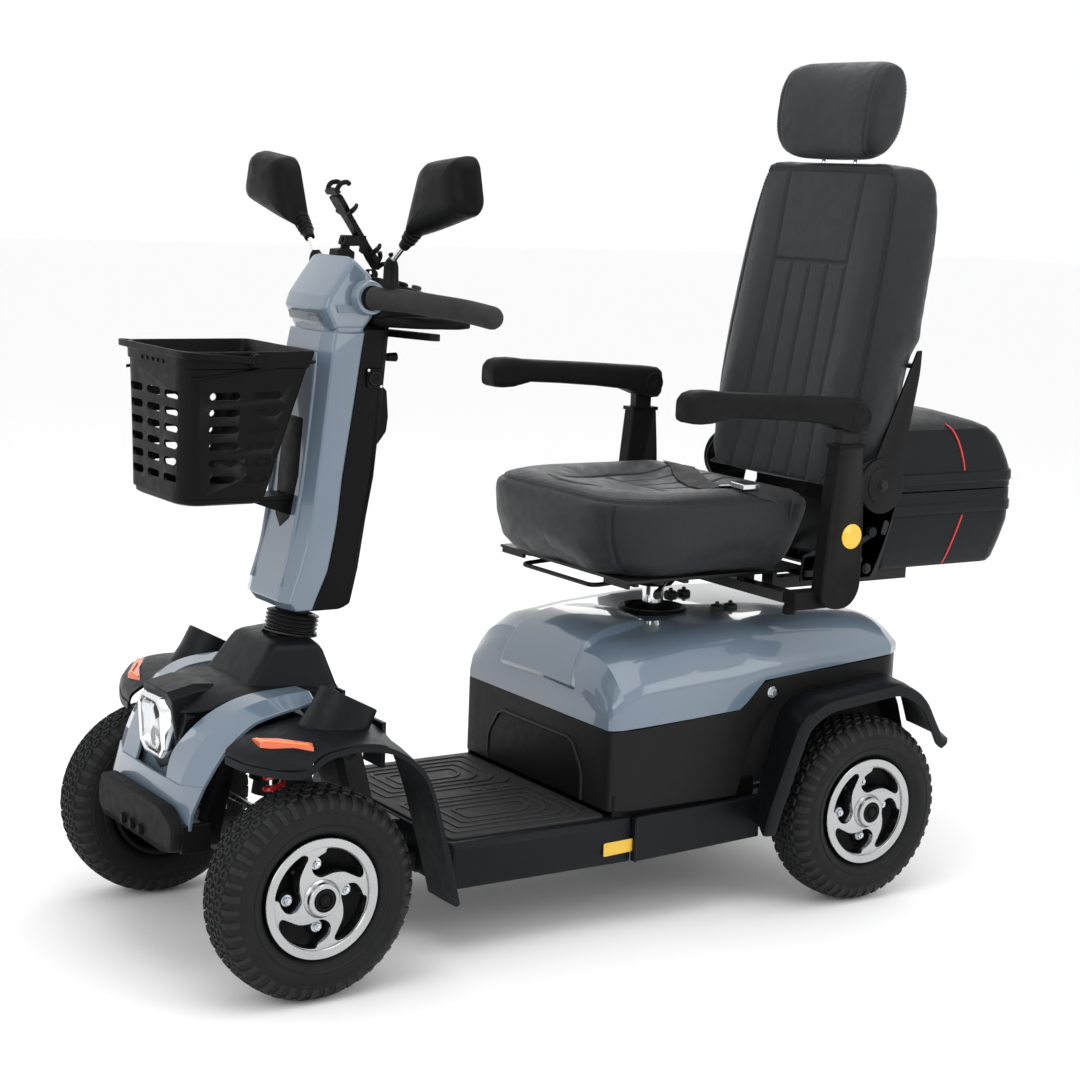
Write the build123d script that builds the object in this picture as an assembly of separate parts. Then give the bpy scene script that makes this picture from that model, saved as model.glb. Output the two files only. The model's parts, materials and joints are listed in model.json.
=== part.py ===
from build123d import *
import math
import os

# Mobility scooter, millimetres. +Z is up, the ground is Z = 0, the front faces -Y and the
# rider's left is +X. The origin is the centre of the bounding box on the ground.

# driving dimensions
LENGTH = 1710.0
AXLE_FRONT_Y = -687.0
AXLE_REAR_Y = 387.0
TYRE_R = 165.0
TYRE_W = 98.0
WHEEL_X = 288.0
RIM_R = 92.0
KINGPIN_X = 205.0
RAIL_X = 110.0
PIVOT_FRONT = (-455.0, 150.0)
PIVOT_REAR = (180.0, 158.0)
SPRING_X = 172.0
DECK_HALF = 245.0
DECK_FRONT = -411.0
DECK_REAR = -57.0
BODY_HALF = 240.0
BODY_FRONT = -100.0
BODY_REAR = 548.0
POST_Y = 140.0
POST_R = 19.0
COLUMN_BASE = (0.0, -583.0, 500.0)
COLUMN_TILT = 9.2
FAIRING_HALF = 78.0
BASKET_FRONT = -815.0
BASKET_REAR = -611.0
BAIL_Y = -715.0
BACK_PIVOT = (464.0, 724.0)
ARM_PIVOT = (322.0, 846.0)
BOX_HALF = 190.0
ARM_TUBE = (237.0, 546.0)
SPRING_Y = -692.0
STEER_ARM = 86.0
PHONE_PIVOT = (-500.0, 1128.0)
STEM_R = 19.0
PIN_R = 9.0
FIT = 0.05
BOX_REAR = LENGTH / 2 - 6
BOX_HINGE = (LENGTH / 2 - 4, 701.0)
BUMPER_FRONT = -LENGTH / 2

X_DIR = (1, 0, 0)
Y_DIR = (0, 1, 0)
Z_DIR = (0, 0, 1)


# shape helpers
def block(x0, x1, y0, y1, z0, z1):
    """A box between two corners."""
    return Pos((x0 + x1) / 2, (y0 + y1) / 2, (z0 + z1) / 2) * Box(x1 - x0, y1 - y0, z1 - z0)


def outline(points):
    """A flat face from the corners of its outline."""
    return make_face(Polyline(*points, close=True))


def side_slab(points, x0, x1):
    """A slab whose (y, z) outline runs from x0 to x1."""
    return extrude(Plane.YZ.offset(x0) * outline(points), amount=x1 - x0, dir=X_DIR)


def front_slab(points, y0, y1):
    """A slab whose (x, z) outline runs from y0 to y1."""
    return extrude(Plane.XZ.offset(-y0) * outline(points), amount=y1 - y0, dir=Y_DIR)


def flat_slab(points, z0, z1):
    """A slab whose (x, y) outline runs from z0 to z1."""
    return extrude(Plane.XY.offset(z0) * outline(points), amount=z1 - z0, dir=Z_DIR)


def run_plane(start, end):
    """A plane at start that faces end, with its x axis across the run."""
    run = Vector(*end) - Vector(*start)
    across = Y_DIR if abs(run.X) > 0.9 * run.length else X_DIR
    return Plane(origin=start, x_dir=across, z_dir=run.normalized())


def distance(start, end):
    """The length of a run."""
    return (Vector(*end) - Vector(*start)).length


def rod(start, end, radius, bore=0.0):
    """A round bar between two points, or a tube where it has a bore."""
    section = Circle(radius)
    if bore:
        section -= Circle(bore)
    return extrude(run_plane(start, end) * section, amount=distance(start, end))


def beam(start, end, width, height, wall=0.0):
    """A rectangular bar between two points, or a box section where it has a wall."""
    section = Rectangle(width, height)
    if wall:
        section -= Rectangle(width - 2 * wall, height - 2 * wall)
    return extrude(run_plane(start, end) * section, amount=distance(start, end))


def across(y, z, x0, x1, radius, bore=0.0):
    """A round bar along X."""
    return rod((x0, y, z), (x1, y, z), radius, bore)


def pipe(points, radius, bend):
    """A round bar along a bent route, with each corner rounded to one radius."""
    route = FilletPolyline(*points, radius=bend)
    start = run_plane(points[0], points[1])
    return sweep(start * Circle(radius), path=route)


def loft_levels(sections):
    """A straight-sided body through (z, outline) sections, lowest first."""
    return loft([Plane.XY.offset(z) * outline(points) for z, points in sections], ruled=True)


def loft_stations(sections):
    """A straight-sided body through (y, outline) cross-sections, front first."""
    return loft([Plane.XZ.offset(-y) * outline(points) for y, points in sections], ruled=True)


def flip(shape):
    """The same shape on the rider's right."""
    return mirror(shape, about=Plane.YZ)


def both(shape):
    """The shape and its mirror image."""
    return [shape, flip(shape)]


def join(*shapes):
    """One node from several solids, which stay separate."""
    solids = []
    for shape in shapes:
        members = shape if isinstance(shape, list) else [shape]
        for member in members:
            solids.extend(member.solids())
    return Compound(children=solids)


def octagon(half_w, half_h, cut):
    """An eight-sided outline about its centre."""
    corner = [(half_w - cut, half_h), (half_w, half_h - cut)]
    right = corner + [(x, -z) for x, z in reversed(corner)]
    return right + [(-x, z) for x, z in reversed(right)]


def strip(stations, thickness):
    """A curved strip through pairs of edge points, thickened by one offset vector."""
    faces = []
    for inner, outer in stations:
        top = [Vector(*inner), Vector(*outer)]
        corners = top + [point + Vector(*thickness) for point in reversed(top)]
        faces.append(Face(Wire.make_polygon(corners)))
    return loft(faces, ruled=True)


def arch(outer, thickness):
    """The closed outline of an arch over a rear wheel, of even thickness towards the axle."""
    inner = []
    for y, z in outer:
        run = math.hypot(AXLE_REAR_Y - y, TYRE_R - z)
        inner.append((y + thickness * (AXLE_REAR_Y - y) / run, z + thickness * (TYRE_R - z) / run))
    return outer + inner[::-1]


def on_column(z, back=0.0):
    """The point of the steering axis at height z, moved back along Y."""
    lean = math.tan(math.radians(COLUMN_TILT))
    return (0, COLUMN_BASE[1] + (z - COLUMN_BASE[2]) * lean + back, z)


# wheels
def tyre(x, y, z):
    """A pneumatic tyre, open towards the rim."""
    half = TYRE_W / 2
    outer = [
        (RIM_R + 0.3, 30), (RIM_R + 12, 41), (118, half), (137, half - 2), (151, half - 8),
        (160, half - 20), (TYRE_R, half - 32),
    ]
    inner = [(158, half - 34), (150, half - 24), (140, half - 14), (118, half - 10), (RIM_R + 10, 28)]
    ring = outer + [(r, -x_side) for r, x_side in reversed(outer)]
    ring += [(r, -x_side) for r, x_side in reversed(inner)]
    ring += inner
    return Pos(x, y, z) * revolve(Plane.XZ * outline([(-w, r) for r, w in ring]), axis=Axis.X)


def rim(x, y, z, side):
    """A cast wheel with four swept spokes and a hub; side is +1 or -1 outboard."""
    barrel = across(0, 0, -40, 40, RIM_R, 84)
    lips = [across(0, 0, *sorted((s * 40, s * 44)), RIM_R + 2, 80) for s in (-1, 1)]
    web = across(0, 0, *sorted((side * 14, side * 38)), 85)
    window = ((8, 76), (22, 78), (40, 78), (58, 77), (70, 70), (66, 52), (50, 40), (30, 38))
    for turn in range(4):
        corners = []
        for angle, radius in window:
            theta = math.radians(90 * turn + angle)
            corners.append((radius * math.cos(theta), radius * math.sin(theta)))
        web -= side_slab(corners, *sorted((side * 10, side * 42)))
    hub = across(0, 0, -34, 34, 30)
    collar = across(0, 0, *sorted((side * 30, side * 46)), 22)
    whole = barrel + lips[0] + lips[1] + web + hub + collar
    whole -= across(0, 0, -60, 60, 10)
    whole += across(0, 0, *sorted((side * 44, side * 52)), 17)
    return Pos(x, y, z) * whole


WHEELS = {
    "fl": (WHEEL_X, AXLE_FRONT_Y, 1),
    "fr": (-WHEEL_X, AXLE_FRONT_Y, -1),
    "rl": (WHEEL_X, AXLE_REAR_Y, 1),
    "rr": (-WHEEL_X, AXLE_REAR_Y, -1),
}


LAMP_PLACE = Pos(0, -800, 372) * Rot(15, 0, 0)


def indicator(depth):
    """The left indicator: an arrowhead wedge let into the top of the mudguard."""
    points = [(214, -752), (252, -762), (330, -706), (312, -700), (262, -738)]
    return flat_slab(points, 386 + depth, 406)


# chassis
def chassis_frame():
    """Welded box-section frame: two rails, cross tubes, front uprights and the seat post socket."""
    rails = both(beam((RAIL_X, -500, 128), (RAIL_X, 200, 128), 40, 30))
    cross = [beam((-RAIL_X, y, 128), (RAIL_X, y, 128), 40, 26) for y in (-400, -210, 20, 100)]
    uprights = both(beam((RAIL_X, -480, 128), (RAIL_X, -540, 350), 34, 34))
    forward = both(beam((RAIL_X, -520, 335), (RAIL_X, -760, 335), 34, 30))
    drop = both(beam((RAIL_X, -746, 345), (RAIL_X, -776, 205), 34, 26))
    nose_bar = beam((-127, -772, 222), (127, -772, 222), 26, 30)
    head_bars = [beam((-RAIL_X, y, 360), (RAIL_X, y, 360), 30, 30) for y in (-575, -640)]
    head_tube = rod(on_column(258), on_column(455), 27)
    spring_bar = beam((-SPRING_X - 26, SPRING_Y, 358), (SPRING_X + 26, SPRING_Y, 358), 30, 18)
    front_lugs = both(block(78, 92, -475, -440, 128, 172))
    rear_lugs = both(block(116, 126, 164, 196, 140, 178))
    rear_uprights = both(beam((RAIL_X, 60, 128), (RAIL_X, 60, 400), 34, 34))
    rear_rails = both(beam((RAIL_X, 45, 400), (RAIL_X, 530, 400), 34, 30))
    rear_ends = both(beam((RAIL_X, 520, 232), (RAIL_X, 520, 405), 34, 26))
    saddle = beam((-RAIL_X, POST_Y, 400), (RAIL_X, POST_Y, 400), 70, 30)
    socket = rod((0, POST_Y, 230), (0, POST_Y, 458), 27)
    brace = beam((-RAIL_X, POST_Y, 250), (RAIL_X, POST_Y, 250), 60, 24)
    brace_legs = both(beam((RAIL_X, POST_Y, 135), (RAIL_X, POST_Y, 390), 30, 30))
    parts = rails + cross + uprights + forward + drop + [nose_bar] + head_bars + [head_tube, spring_bar]
    parts += front_lugs + rear_lugs + rear_uprights + rear_rails + rear_ends
    parts += [saddle, socket, brace] + brace_legs
    parts += [block(-150, 150, BODY_REAR + 4, 568, 240, 262)] + both(block(94, 124, 520, 556, 236, 266))
    frame = parts[0]
    for part in parts[1:]:
        frame += part
    frame -= rod(on_column(240), on_column(470), STEM_R + FIT)
    frame -= rod((0, POST_Y, 238), (0, POST_Y, 470), POST_R + FIT)
    frame -= across(*PIVOT_REAR, -140, 140, PIN_R + FIT)
    return join(frame)


def batteries():
    """Two sealed batteries, one ahead of the post socket and one above the axle."""
    return join(block(-90, 90, -48, 40, 144, 312), block(-88, 88, 290, 470, 268, 380))


def floor_pan():
    """The footwell tray, hollow underneath, with its toe board and side skirts."""
    pan = block(-DECK_HALF, DECK_HALF, DECK_FRONT, DECK_REAR, 110, 186)
    pan -= block(-DECK_HALF + 6, DECK_HALF - 6, DECK_FRONT + 6, DECK_REAR + 10, 100, 180)
    pan -= block(-136, 136, DECK_FRONT - 5, DECK_FRONT + 10, 100, 146)
    toe = side_slab([(DECK_FRONT + 2, 180), (DECK_FRONT + 2, 186), (DECK_FRONT - 44, 186),
                     (DECK_FRONT - 118, 330), (DECK_FRONT - 124, 330), (DECK_FRONT - 48, 180)], -76, 76)
    skirt = block(246, 252, DECK_REAR + 2, 150, 122, 190) + block(236, 252, DECK_REAR + 2, 150, 184, 190)
    return join(pan + toe, both(skirt))


def floor_mat():
    """The rubber mat with two nested raised ribs on each side of the middle."""
    mat = block(-222, 222, DECK_FRONT + 8, DECK_REAR - 40, 186, 191)
    for inset in (16, 40, 64):
        ring = flat_slab(
            [(-222 + inset, -380 + inset), (222 - inset, -380 + inset), (222 - inset, -130 - inset),
             (-222 + inset, -130 - inset)], 191, 194)
        hole = block(-218 + inset, 218 - inset, -376 + inset, -134 - inset, 190, 195)
        mat += ring - hole
    return join(mat)


def hood_panel():
    """The charcoal centre cover: headlamp housing, saddle between the stripes and raised neck."""
    housing = side_slab([(-800, 306), (-806, 318), (-822, 428), (-812, 436), (-742, 434), (-742, 330),
                         (-778, 306)], -58, 58)
    housing -= LAMP_PLACE * block(-50, 50, -60, 26, -52, 52)
    saddle = side_slab([(-745, 404), (-745, 432), (-690, 440), (-560, 430), (-545, 412), (-545, 404),
                        (-690, 412)], -84, 84)
    neck = loft_levels([
        (424, [(-106, -548), (-84, -700), (84, -700), (106, -548)]),
        (488, [(-96, -568), (-72, -656), (72, -656), (96, -568)]),
        (498, [(-66, -574), (-54, -656), (54, -656), (66, -574)]),
    ])
    cavity = loft_levels([
        (400, [(-94, -558), (-72, -688), (72, -688), (94, -558)]),
        (481, [(-84, -576), (-64, -650), (64, -650), (84, -576)]),
    ])
    panel = housing + saddle + neck - cavity
    panel -= rod(on_column(390), on_column(520), 45)
    return join(panel)


def nose_panel():
    """The painted nose shield and the two stripes that run up and back beside the hood."""
    shield = loft_levels([
        (206, [(-128, -820), (-134, -834), (134, -834), (128, -820)]),
        (262, [(-138, -814), (-146, -829), (146, -829), (138, -814)]),
        (303, [(-140, -802), (-148, -818), (148, -818), (140, -802)]),
    ])
    stripe = strip(
        [((60, -813, 302.5), (146, -811, 302.5)), ((64, -806, 345), (158, -788, 345)),
         ((90, -764, 398), (178, -748, 392)), ((108, -720, 434), (186, -712, 412)),
         ((112, -632, 440), (178, -632, 432))], (0, 4, -5))
    return join(shield, both(stripe))


def front_fender():
    """The left mudguard with its slanted cup holder and rear flap, open over the wheel."""
    near = [(-770, 356), (-774, 372), (-700, 402), (-640, 412), (-545, 412), (-545, 402), (-640, 403),
            (-700, 393), (-762, 366)]
    far = [(-716, 366), (-718, 384), (-690, 394), (-640, 398), (-562, 380), (-562, 366), (-640, 388),
           (-690, 382), (-708, 372)]
    guard = loft([Plane.YZ.offset(190) * outline(near), Plane.YZ.offset(338) * outline(far)], ruled=True)
    guard += side_slab([(-566, 362), (-566, 384), (-530, 368), (-508, 350), (-446, 123), (-461, 124),
                        (-520, 340)], 250, 338)
    guard += rod((240, -646, 360), (240, -602, 446), 47)
    guard -= rod((240, -640, 372), (240, -582, 485), 42)
    guard -= indicator(0.0)
    return guard


def front_bumper():
    """The rubber bumper pad on the nose."""
    pad = flat_slab([(-150, -836), (-132, BUMPER_FRONT + 4), (-60, BUMPER_FRONT), (60, BUMPER_FRONT),
                     (132, BUMPER_FRONT + 4), (150, -836)], 200, 268)
    studs = [across(0, 0, -6, 6, 7).moved(Location((x, BUMPER_FRONT + 9, 216))) for x in (-34, 0, 34)]
    for stud in studs:
        pad += stud
    return join(pad)


def headlamp_bezel():
    """The bright eight-sided surround of the headlamp."""
    frame = front_slab(octagon(48, 50, 16), -24, 18) - front_slab(octagon(41, 43, 14), -30, 14)
    return join(LAMP_PLACE * frame)


def headlamp_lens():
    """The clear block of the headlamp inside its surround."""
    return join(LAMP_PLACE * front_slab(octagon(40.5, 42.5, 14), -20, 13.7))


def signal_lamps():
    """The front indicators on the mudguards and the rear lamps on the body."""
    rear = side_slab([(548.5, 392), (560, 396), (558, 424), (548.5, 428)], 118, 184)
    return join(both(indicator(0)), both(rear))


def rear_shroud():
    """The black lower body: an open-topped box with wheel wells and a raised frame in front."""
    profile = [(BODY_FRONT, 198), (BODY_FRONT, 333), (164, 349), (212, 397), (507, 417), (BODY_REAR, 414),
               (BODY_REAR, 198)]
    well = [(160, 190), (186, 300), (232, 356), (300, 374), (470, 374), (520, 330), (548, 190)]
    lining = [(154, 198), (181, 303), (229, 361), (299, 380), (473, 380), (525, 333), (548, 236),
              (548, 198)]
    plan = [(-228, BODY_FRONT), (228, BODY_FRONT), (BODY_HALF, -60), (BODY_HALF, 500), (196, BODY_REAR),
            (-196, BODY_REAR), (-BODY_HALF, 500), (-BODY_HALF, -60)]
    inset = [(x * 0.978, BODY_FRONT + 5 + (y - BODY_FRONT) * 0.985) for x, y in plan]
    shell = side_slab(profile, -BODY_HALF, BODY_HALF) & flat_slab(plan, 190, 430)
    shroud = shell - flat_slab(inset, 190, 430)
    for solid in both(side_slab(lining, 184, 240) & flat_slab(plan, 190, 430)):
        shroud += solid
    for solid in both(side_slab(well, 190, 250)):
        shroud -= solid
    shroud -= block(-140, 140, BODY_REAR - 20, BODY_REAR + 4, 190, 268)
    trim = block(-150, 150, BODY_FRONT - 3, BODY_FRONT + 1, 198, 300)
    trim -= block(-143, 143, BODY_FRONT - 4, BODY_FRONT, 190, 293)
    return join(shroud + trim)


def cover_section(half, shoulder, ridge, low, mid, high):
    """The (x, z) outline of the painted cover at one station."""
    return [(-half, low), (half, low), (half, mid), (shoulder, high - 12), (ridge, high),
            (-ridge, high), (-shoulder, high - 12), (-half, mid)]


def rear_cover():
    """The painted lid over the battery bay, hollow, with a hole for the post socket."""
    stations = [
        (BODY_FRONT, 226, 160, 120, 334, 372, 420),
        (BODY_FRONT + 40, 239, 196, 150, 337, 392, 458),
        (POST_Y, 239, 206, 160, 349, 402, 484),
        (330, 239, 206, 160, 406, 425, 492),
        (500, 239, 196, 150, 418.5, 432, 484),
        (BODY_REAR, 196, 150, 120, 416, 425, 456),
    ]
    outer = loft_stations([(y, cover_section(*rest)) for y, *rest in stations])
    inner = loft_stations([
        (y + shift, cover_section(half - 6, shoulder - 6, ridge - 4, low - 40, mid - 4, high - 5))
        for (y, half, shoulder, ridge, low, mid, high), shift in zip(stations, (5, 0, 0, 0, 0, -5))
    ])
    cover = outer - inner
    cover -= side_slab([(-120, 300), (-120, 333.5), (164, 350), (212, 398), (507, 418), (560, 415.5),
                        (560, 300)], -260, 260)
    cover -= rod((0, POST_Y, 430), (0, POST_Y, 520), 58)
    trim = rod((0, POST_Y, 484.5), (0, POST_Y, 490), 62, 28) + rod((0, POST_Y, 470), (0, POST_Y, 488), 57, 50)
    return join(cover, trim)


def rear_fender():
    """The left rear mudguard, flared outward over the wheel and open below."""
    near = arch([(192, 152), (204, 200), (243, 343), (277, 368), (440, 386), (493, 388), (530, 356),
                 (552, 296)], 7)
    far = arch([(150, 152), (163, 196), (222, 345), (270, 374), (449, 392), (503, 362), (550, 286),
                (560, 276)], 7)
    return loft([Plane.YZ.offset(241) * outline(near), Plane.YZ.offset(338) * outline(far)], ruled=True)


# running gear
def front_axle_frame():
    """The swinging front sub-frame: axle beam, two arms, spring seats and the kingpin forks."""
    parts = both(beam((62, AXLE_FRONT_Y + 10, 165), (62, *PIVOT_FRONT), 28, 30))
    parts.append(across(*PIVOT_FRONT, -77, 77, 17))
    for side in (-1, 1):
        jaw = block(*sorted((side * 178, side * 222)), AXLE_FRONT_Y - 17, AXLE_FRONT_Y + 17, 134, 196)
        jaw -= block(*sorted((side * 187, side * 230)), AXLE_FRONT_Y - 20, AXLE_FRONT_Y + 20, 144, 186)
        pin = rod((side * KINGPIN_X, AXLE_FRONT_Y, 130), (side * KINGPIN_X, AXLE_FRONT_Y, 200), 8)
        parts += [jaw, pin]
        parts.append(block(*sorted((side * (SPRING_X - 14), side * (SPRING_X + 6))), -704, -680, 178, 196))
    whole = beam((-182, AXLE_FRONT_Y, 165), (182, AXLE_FRONT_Y, 165), 36, 36)
    for part in parts:
        whole += part
    return join(whole)


def springs_front():
    """The two front coil-over units, in their rest length."""
    return join(both(rod((SPRING_X, SPRING_Y, 196.5), (SPRING_X, SPRING_Y, 348.5), 18)))


def knuckle(side):
    """A steering knuckle with its stub axle and steering arm."""
    x = side * KINGPIN_X
    whole = rod((x, AXLE_FRONT_Y, 144.5), (x, AXLE_FRONT_Y, 185.5), 15.5)
    whole += across(AXLE_FRONT_Y, 165, *sorted((x + side * 10, side * (WHEEL_X + 30))), PIN_R + 0.95)
    whole += across(AXLE_FRONT_Y, 165, *sorted((x + side * 10, side * (WHEEL_X - 36))), 15)
    whole += beam((x, AXLE_FRONT_Y, 158), (x, AXLE_FRONT_Y + STEER_ARM + 6, 158), 12, 12)
    whole += rod((x, AXLE_FRONT_Y + STEER_ARM, 152), (x, AXLE_FRONT_Y + STEER_ARM, 192), 6)
    whole -= rod((x, AXLE_FRONT_Y, 120), (x, AXLE_FRONT_Y, 210), 8 + FIT)
    return join(whole)


def tie_rod():
    """The rod between the two steering arms."""
    y = AXLE_FRONT_Y + STEER_ARM
    bar = across(y, 184, -KINGPIN_X + 8, KINGPIN_X - 8, 6)
    for x in (-KINGPIN_X, KINGPIN_X):
        bar += rod((x, y, 178), (x, y, 190), 12)
    for x in (-KINGPIN_X, KINGPIN_X):
        bar -= rod((x, y, 170), (x, y, 200), 6 + FIT)
    return join(bar)


def rear_axle_unit():
    """The transaxle with its motor and two trailing arms on one pivot tube."""
    whole = across(AXLE_REAR_Y, 165, -176, 176, 30)
    parts = [rod((30, AXLE_REAR_Y, 165), (92, AXLE_REAR_Y, 165), 60)]
    parts.append(across(AXLE_REAR_Y - 92, 180, -106, 36, 44))
    parts.append(block(34, 88, AXLE_REAR_Y - 130, AXLE_REAR_Y, 150, 215))
    parts += both(across(AXLE_REAR_Y, 165, 170, WHEEL_X + 30, PIN_R + 0.95))
    parts += both(beam((150, AXLE_REAR_Y, 165), (150, *PIVOT_REAR), 24, 32))
    parts.append(across(*PIVOT_REAR, -162, 162, PIN_R))
    for part in parts:
        whole += part
    return join(whole)


# steering column and tiller
def steering_stem():
    """The inner column that turns in the head tube, with its drop arm and hinge eye."""
    whole = rod(on_column(234), on_column(492), STEM_R)
    whole += beam(on_column(246), on_column(246, 62), 22, 12)
    pin_y = on_column(246, 54)[1]
    whole += rod((0, pin_y, 222), (0, pin_y, 246), 6)
    whole += across(COLUMN_BASE[1], COLUMN_BASE[2], -16, 16, 14)
    whole -= across(COLUMN_BASE[1], COLUMN_BASE[2], -20, 20, 6 + FIT)
    return join(whole)


def steering_gaiter():
    """The rubber bellows around the hinge of the tiller."""
    rings = []
    for step in range(4):
        low = on_column(503 + 7 * step)
        high = on_column(509 + 7 * step)
        rings.append(rod(low, high, 43 - 2 * (step % 2), 30))
    core = rod(on_column(499), on_column(532), 38, 30)
    whole = core
    for ring in rings:
        whole += ring
    return join(whole)


FAIRING = [(548, -630, -620, -582), (610, -596, -588, -556), (690, -584, -575, -541),
           (760, -580, -569, -534), (990, -556, -546, -501)]


def fairing_level(front, shoulder, seam, narrow=56.0):
    """The (x, y) outline of the painted tiller shell at one height."""
    return [(-narrow, front), (narrow, front), (FAIRING_HALF, shoulder), (FAIRING_HALF, seam),
            (-FAIRING_HALF, seam), (-FAIRING_HALF, shoulder)]


def back_level(seam, rear, narrow=66.0):
    """The (x, y) outline of the black tiller shell at one height."""
    wide = FAIRING_HALF - 4
    return [(-wide, seam), (wide, seam), (wide, rear - 14), (narrow, rear), (-narrow, rear),
            (-wide, rear - 14)]


def tiller_front_cover():
    """The painted front shell of the tiller with its overhanging head."""
    shell = loft_levels([(z, fairing_level(front, shoulder, seam)) for z, front, shoulder, seam in FAIRING])
    shell -= loft_levels([
        (z + shift, [(x * 0.92, y) for x, y in fairing_level(front + 5, shoulder + 5, seam + 2)])
        for (z, front, shoulder, seam), shift in zip(FAIRING, (-1, 0, 0, 0, 1))])
    head = side_slab([(-556, 990.5), (-574, 1022), (-567, 1042), (-521, 1106), (-489, 1080), (-498, 990.5)],
                     -70, 70)
    for collar in both(across(-500, 1042, 60, 92, 26)):
        head += collar
    head -= side_slab([(-550, 985), (-562, 1022), (-512, 1094), (-480, 1075), (-480, 985)], -62, 62)
    head -= across(-500, 1042, -100, 100, 20)
    head += side_slab([(-519, 1098), (-493, 1077), (-493, 1108), (-519, 1108)], -14, 14)
    head += block(-4, 4, -508, -492, 1100, 1128) + across(*PHONE_PIVOT, -4, 4, 8)
    head -= across(*PHONE_PIVOT, -5, 5, 3 + FIT)
    return join(shell, head)


def tiller_rear_cover():
    """The black rear shell of the tiller around its inner post, with the hinge ears."""
    levels = [(548, -581, -512), (610, -555, -498), (690, -540, -485), (760, -533, -471),
              (990, -500, -450)]
    shell = loft_levels([(z, back_level(seam, rear)) for z, seam, rear in levels])
    shell -= loft_levels([(z + shift, [(x * 0.9, y) for x, y in back_level(seam - 2, rear - 6)])
                          for (z, seam, rear), shift in zip(levels, (-1, 0, 0, 0, 1))])
    shell += side_slab([(-475, 812), (-452, 820), (-440, 850), (-444, 896), (-465, 910)], -46, 46)
    spine = rod(on_column(522), on_column(985), 18)
    for ear in both(beam((21.5, COLUMN_BASE[1], 493), (21.5, on_column(560)[1], 560), 5, 24)):
        spine += ear
    spine += across(COLUMN_BASE[1], COLUMN_BASE[2], -24, 24, 6)
    spine += rod(on_column(548), on_column(562), 26)
    return join(shell, spine)


def console():
    """The control pod behind the tiller head."""
    pod = flat_slab([(-74, -486), (74, -486), (130, -436), (148, -372), (126, -338), (-126, -338),
                     (-148, -372), (-130, -436)], 997, 1014)
    pod += side_slab([(-486, 1013), (-486, 1076), (-470, 1070), (-342, 1034), (-342, 1013)], -58, 58)
    pod += side_slab([(-470, 1013), (-470, 1070), (-342, 1034), (-342, 1013)], -92, 92)
    pod += flat_slab([(-70, -486), (70, -486), (70, -446), (-70, -446)], 990.5, 998)
    pod -= rod((-60, -420, 1030), (-60, -420, 1070), 9)
    pod -= rod((0, -430, 985), (0, -430, 1002), 6 + FIT)
    return join(pod)


def handlebar():
    """The bent steel bar through the tiller head with its two foam grips."""
    route = [(96, -500, 1042), (150, -470, 1041), (222, -406, 1031), (278, -394, 1025)]
    grip = pipe(route, 18, 28)
    tip = Pos(278, -394, 1025) * Sphere(18)
    core = across(-500, 1042, -98, 98, 12)
    return join(core + grip + flip(grip) + tip + flip(tip))


def throttle_lever():
    """The wig-wag drive paddle under the console, on a vertical pivot."""
    whole = rod((0, -430, 974), (0, -430, 990), 12) + rod((0, -430, 988), (0, -430, 1001), 6)
    for wing in both(flat_slab([(6, -438), (120, -404), (124, -392), (6, -422)], 976, 988)):
        whole += wing
    return join(whole)


def tilted_disc(x, y, z, radius, depth, lean=-14.0):
    """A round knob that stands on the sloping console top."""
    return Pos(x, y, z) * Rot(lean, 0, 0) * extrude(Circle(radius), amount=depth)


def basket():
    """The front basket: a tapered open box with rows of slots."""
    def level(half, front, rear, inset=0.0):
        return [(-half + inset, front + inset), (-half + 26 + inset, front - 12 + inset),
                (half - 26 - inset, front - 12 + inset), (half - inset, front + inset),
                (half - inset, rear - inset), (-half + inset, rear - inset)]
    top, low = 963, 728
    wall = loft_levels([(low, level(106, -812, -684)), (top, level(121, BASKET_FRONT, BASKET_REAR))])
    wall -= loft_levels([(low + 4, level(106, -812, -684, 4)),
                         (top + 1, level(121, BASKET_FRONT, BASKET_REAR, 4))])
    for row in range(6):
        z = 762 + 26 * row
        for x in (-64, 0, 64):
            wall -= block(x - 22, x + 22, -860, -790, z, z + 11)
        for y in (-782, -722):
            wall -= block(-130, 130, y, y + 42, z, z + 11)
    rim_band = flat_slab(level(124, BASKET_FRONT - 3, BASKET_REAR + 3), 953, 963)
    rim_band -= flat_slab(level(124, BASKET_FRONT - 3, BASKET_REAR + 3, 7), 950, 965)
    wall += rim_band
    for boss in both(across(BAIL_Y, 950, 118, 130, 9)):
        wall += boss
    return join(wall)


def basket_handle():
    """The carrying bail, folded forward on the rim."""
    whole = beam((-134, BASKET_FRONT - 14, 973), (134, BASKET_FRONT - 14, 973), 10, 8)
    for arm in both(beam((134, BAIL_Y, 950), (132, BASKET_FRONT - 12, 972), 5, 10)):
        whole += arm
    for eye in both(across(BAIL_Y, 950, 130.5, 137, 10)):
        whole += eye
    return join(whole)


def basket_bracket():
    """The plate on the tiller that the basket hangs on."""
    plate = side_slab([(-600, 655), (-591, 655), (-585.5, 690), (-581.5, 760), (-573, 850), (-581, 850),
                       (-590, 760), (-597, 690)], -40, 40)
    arm = side_slab([(-676, 720), (-676, 727), (-594, 727), (-590, 694), (-602, 694)], -30, 30)
    return join(plate + arm)


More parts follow.
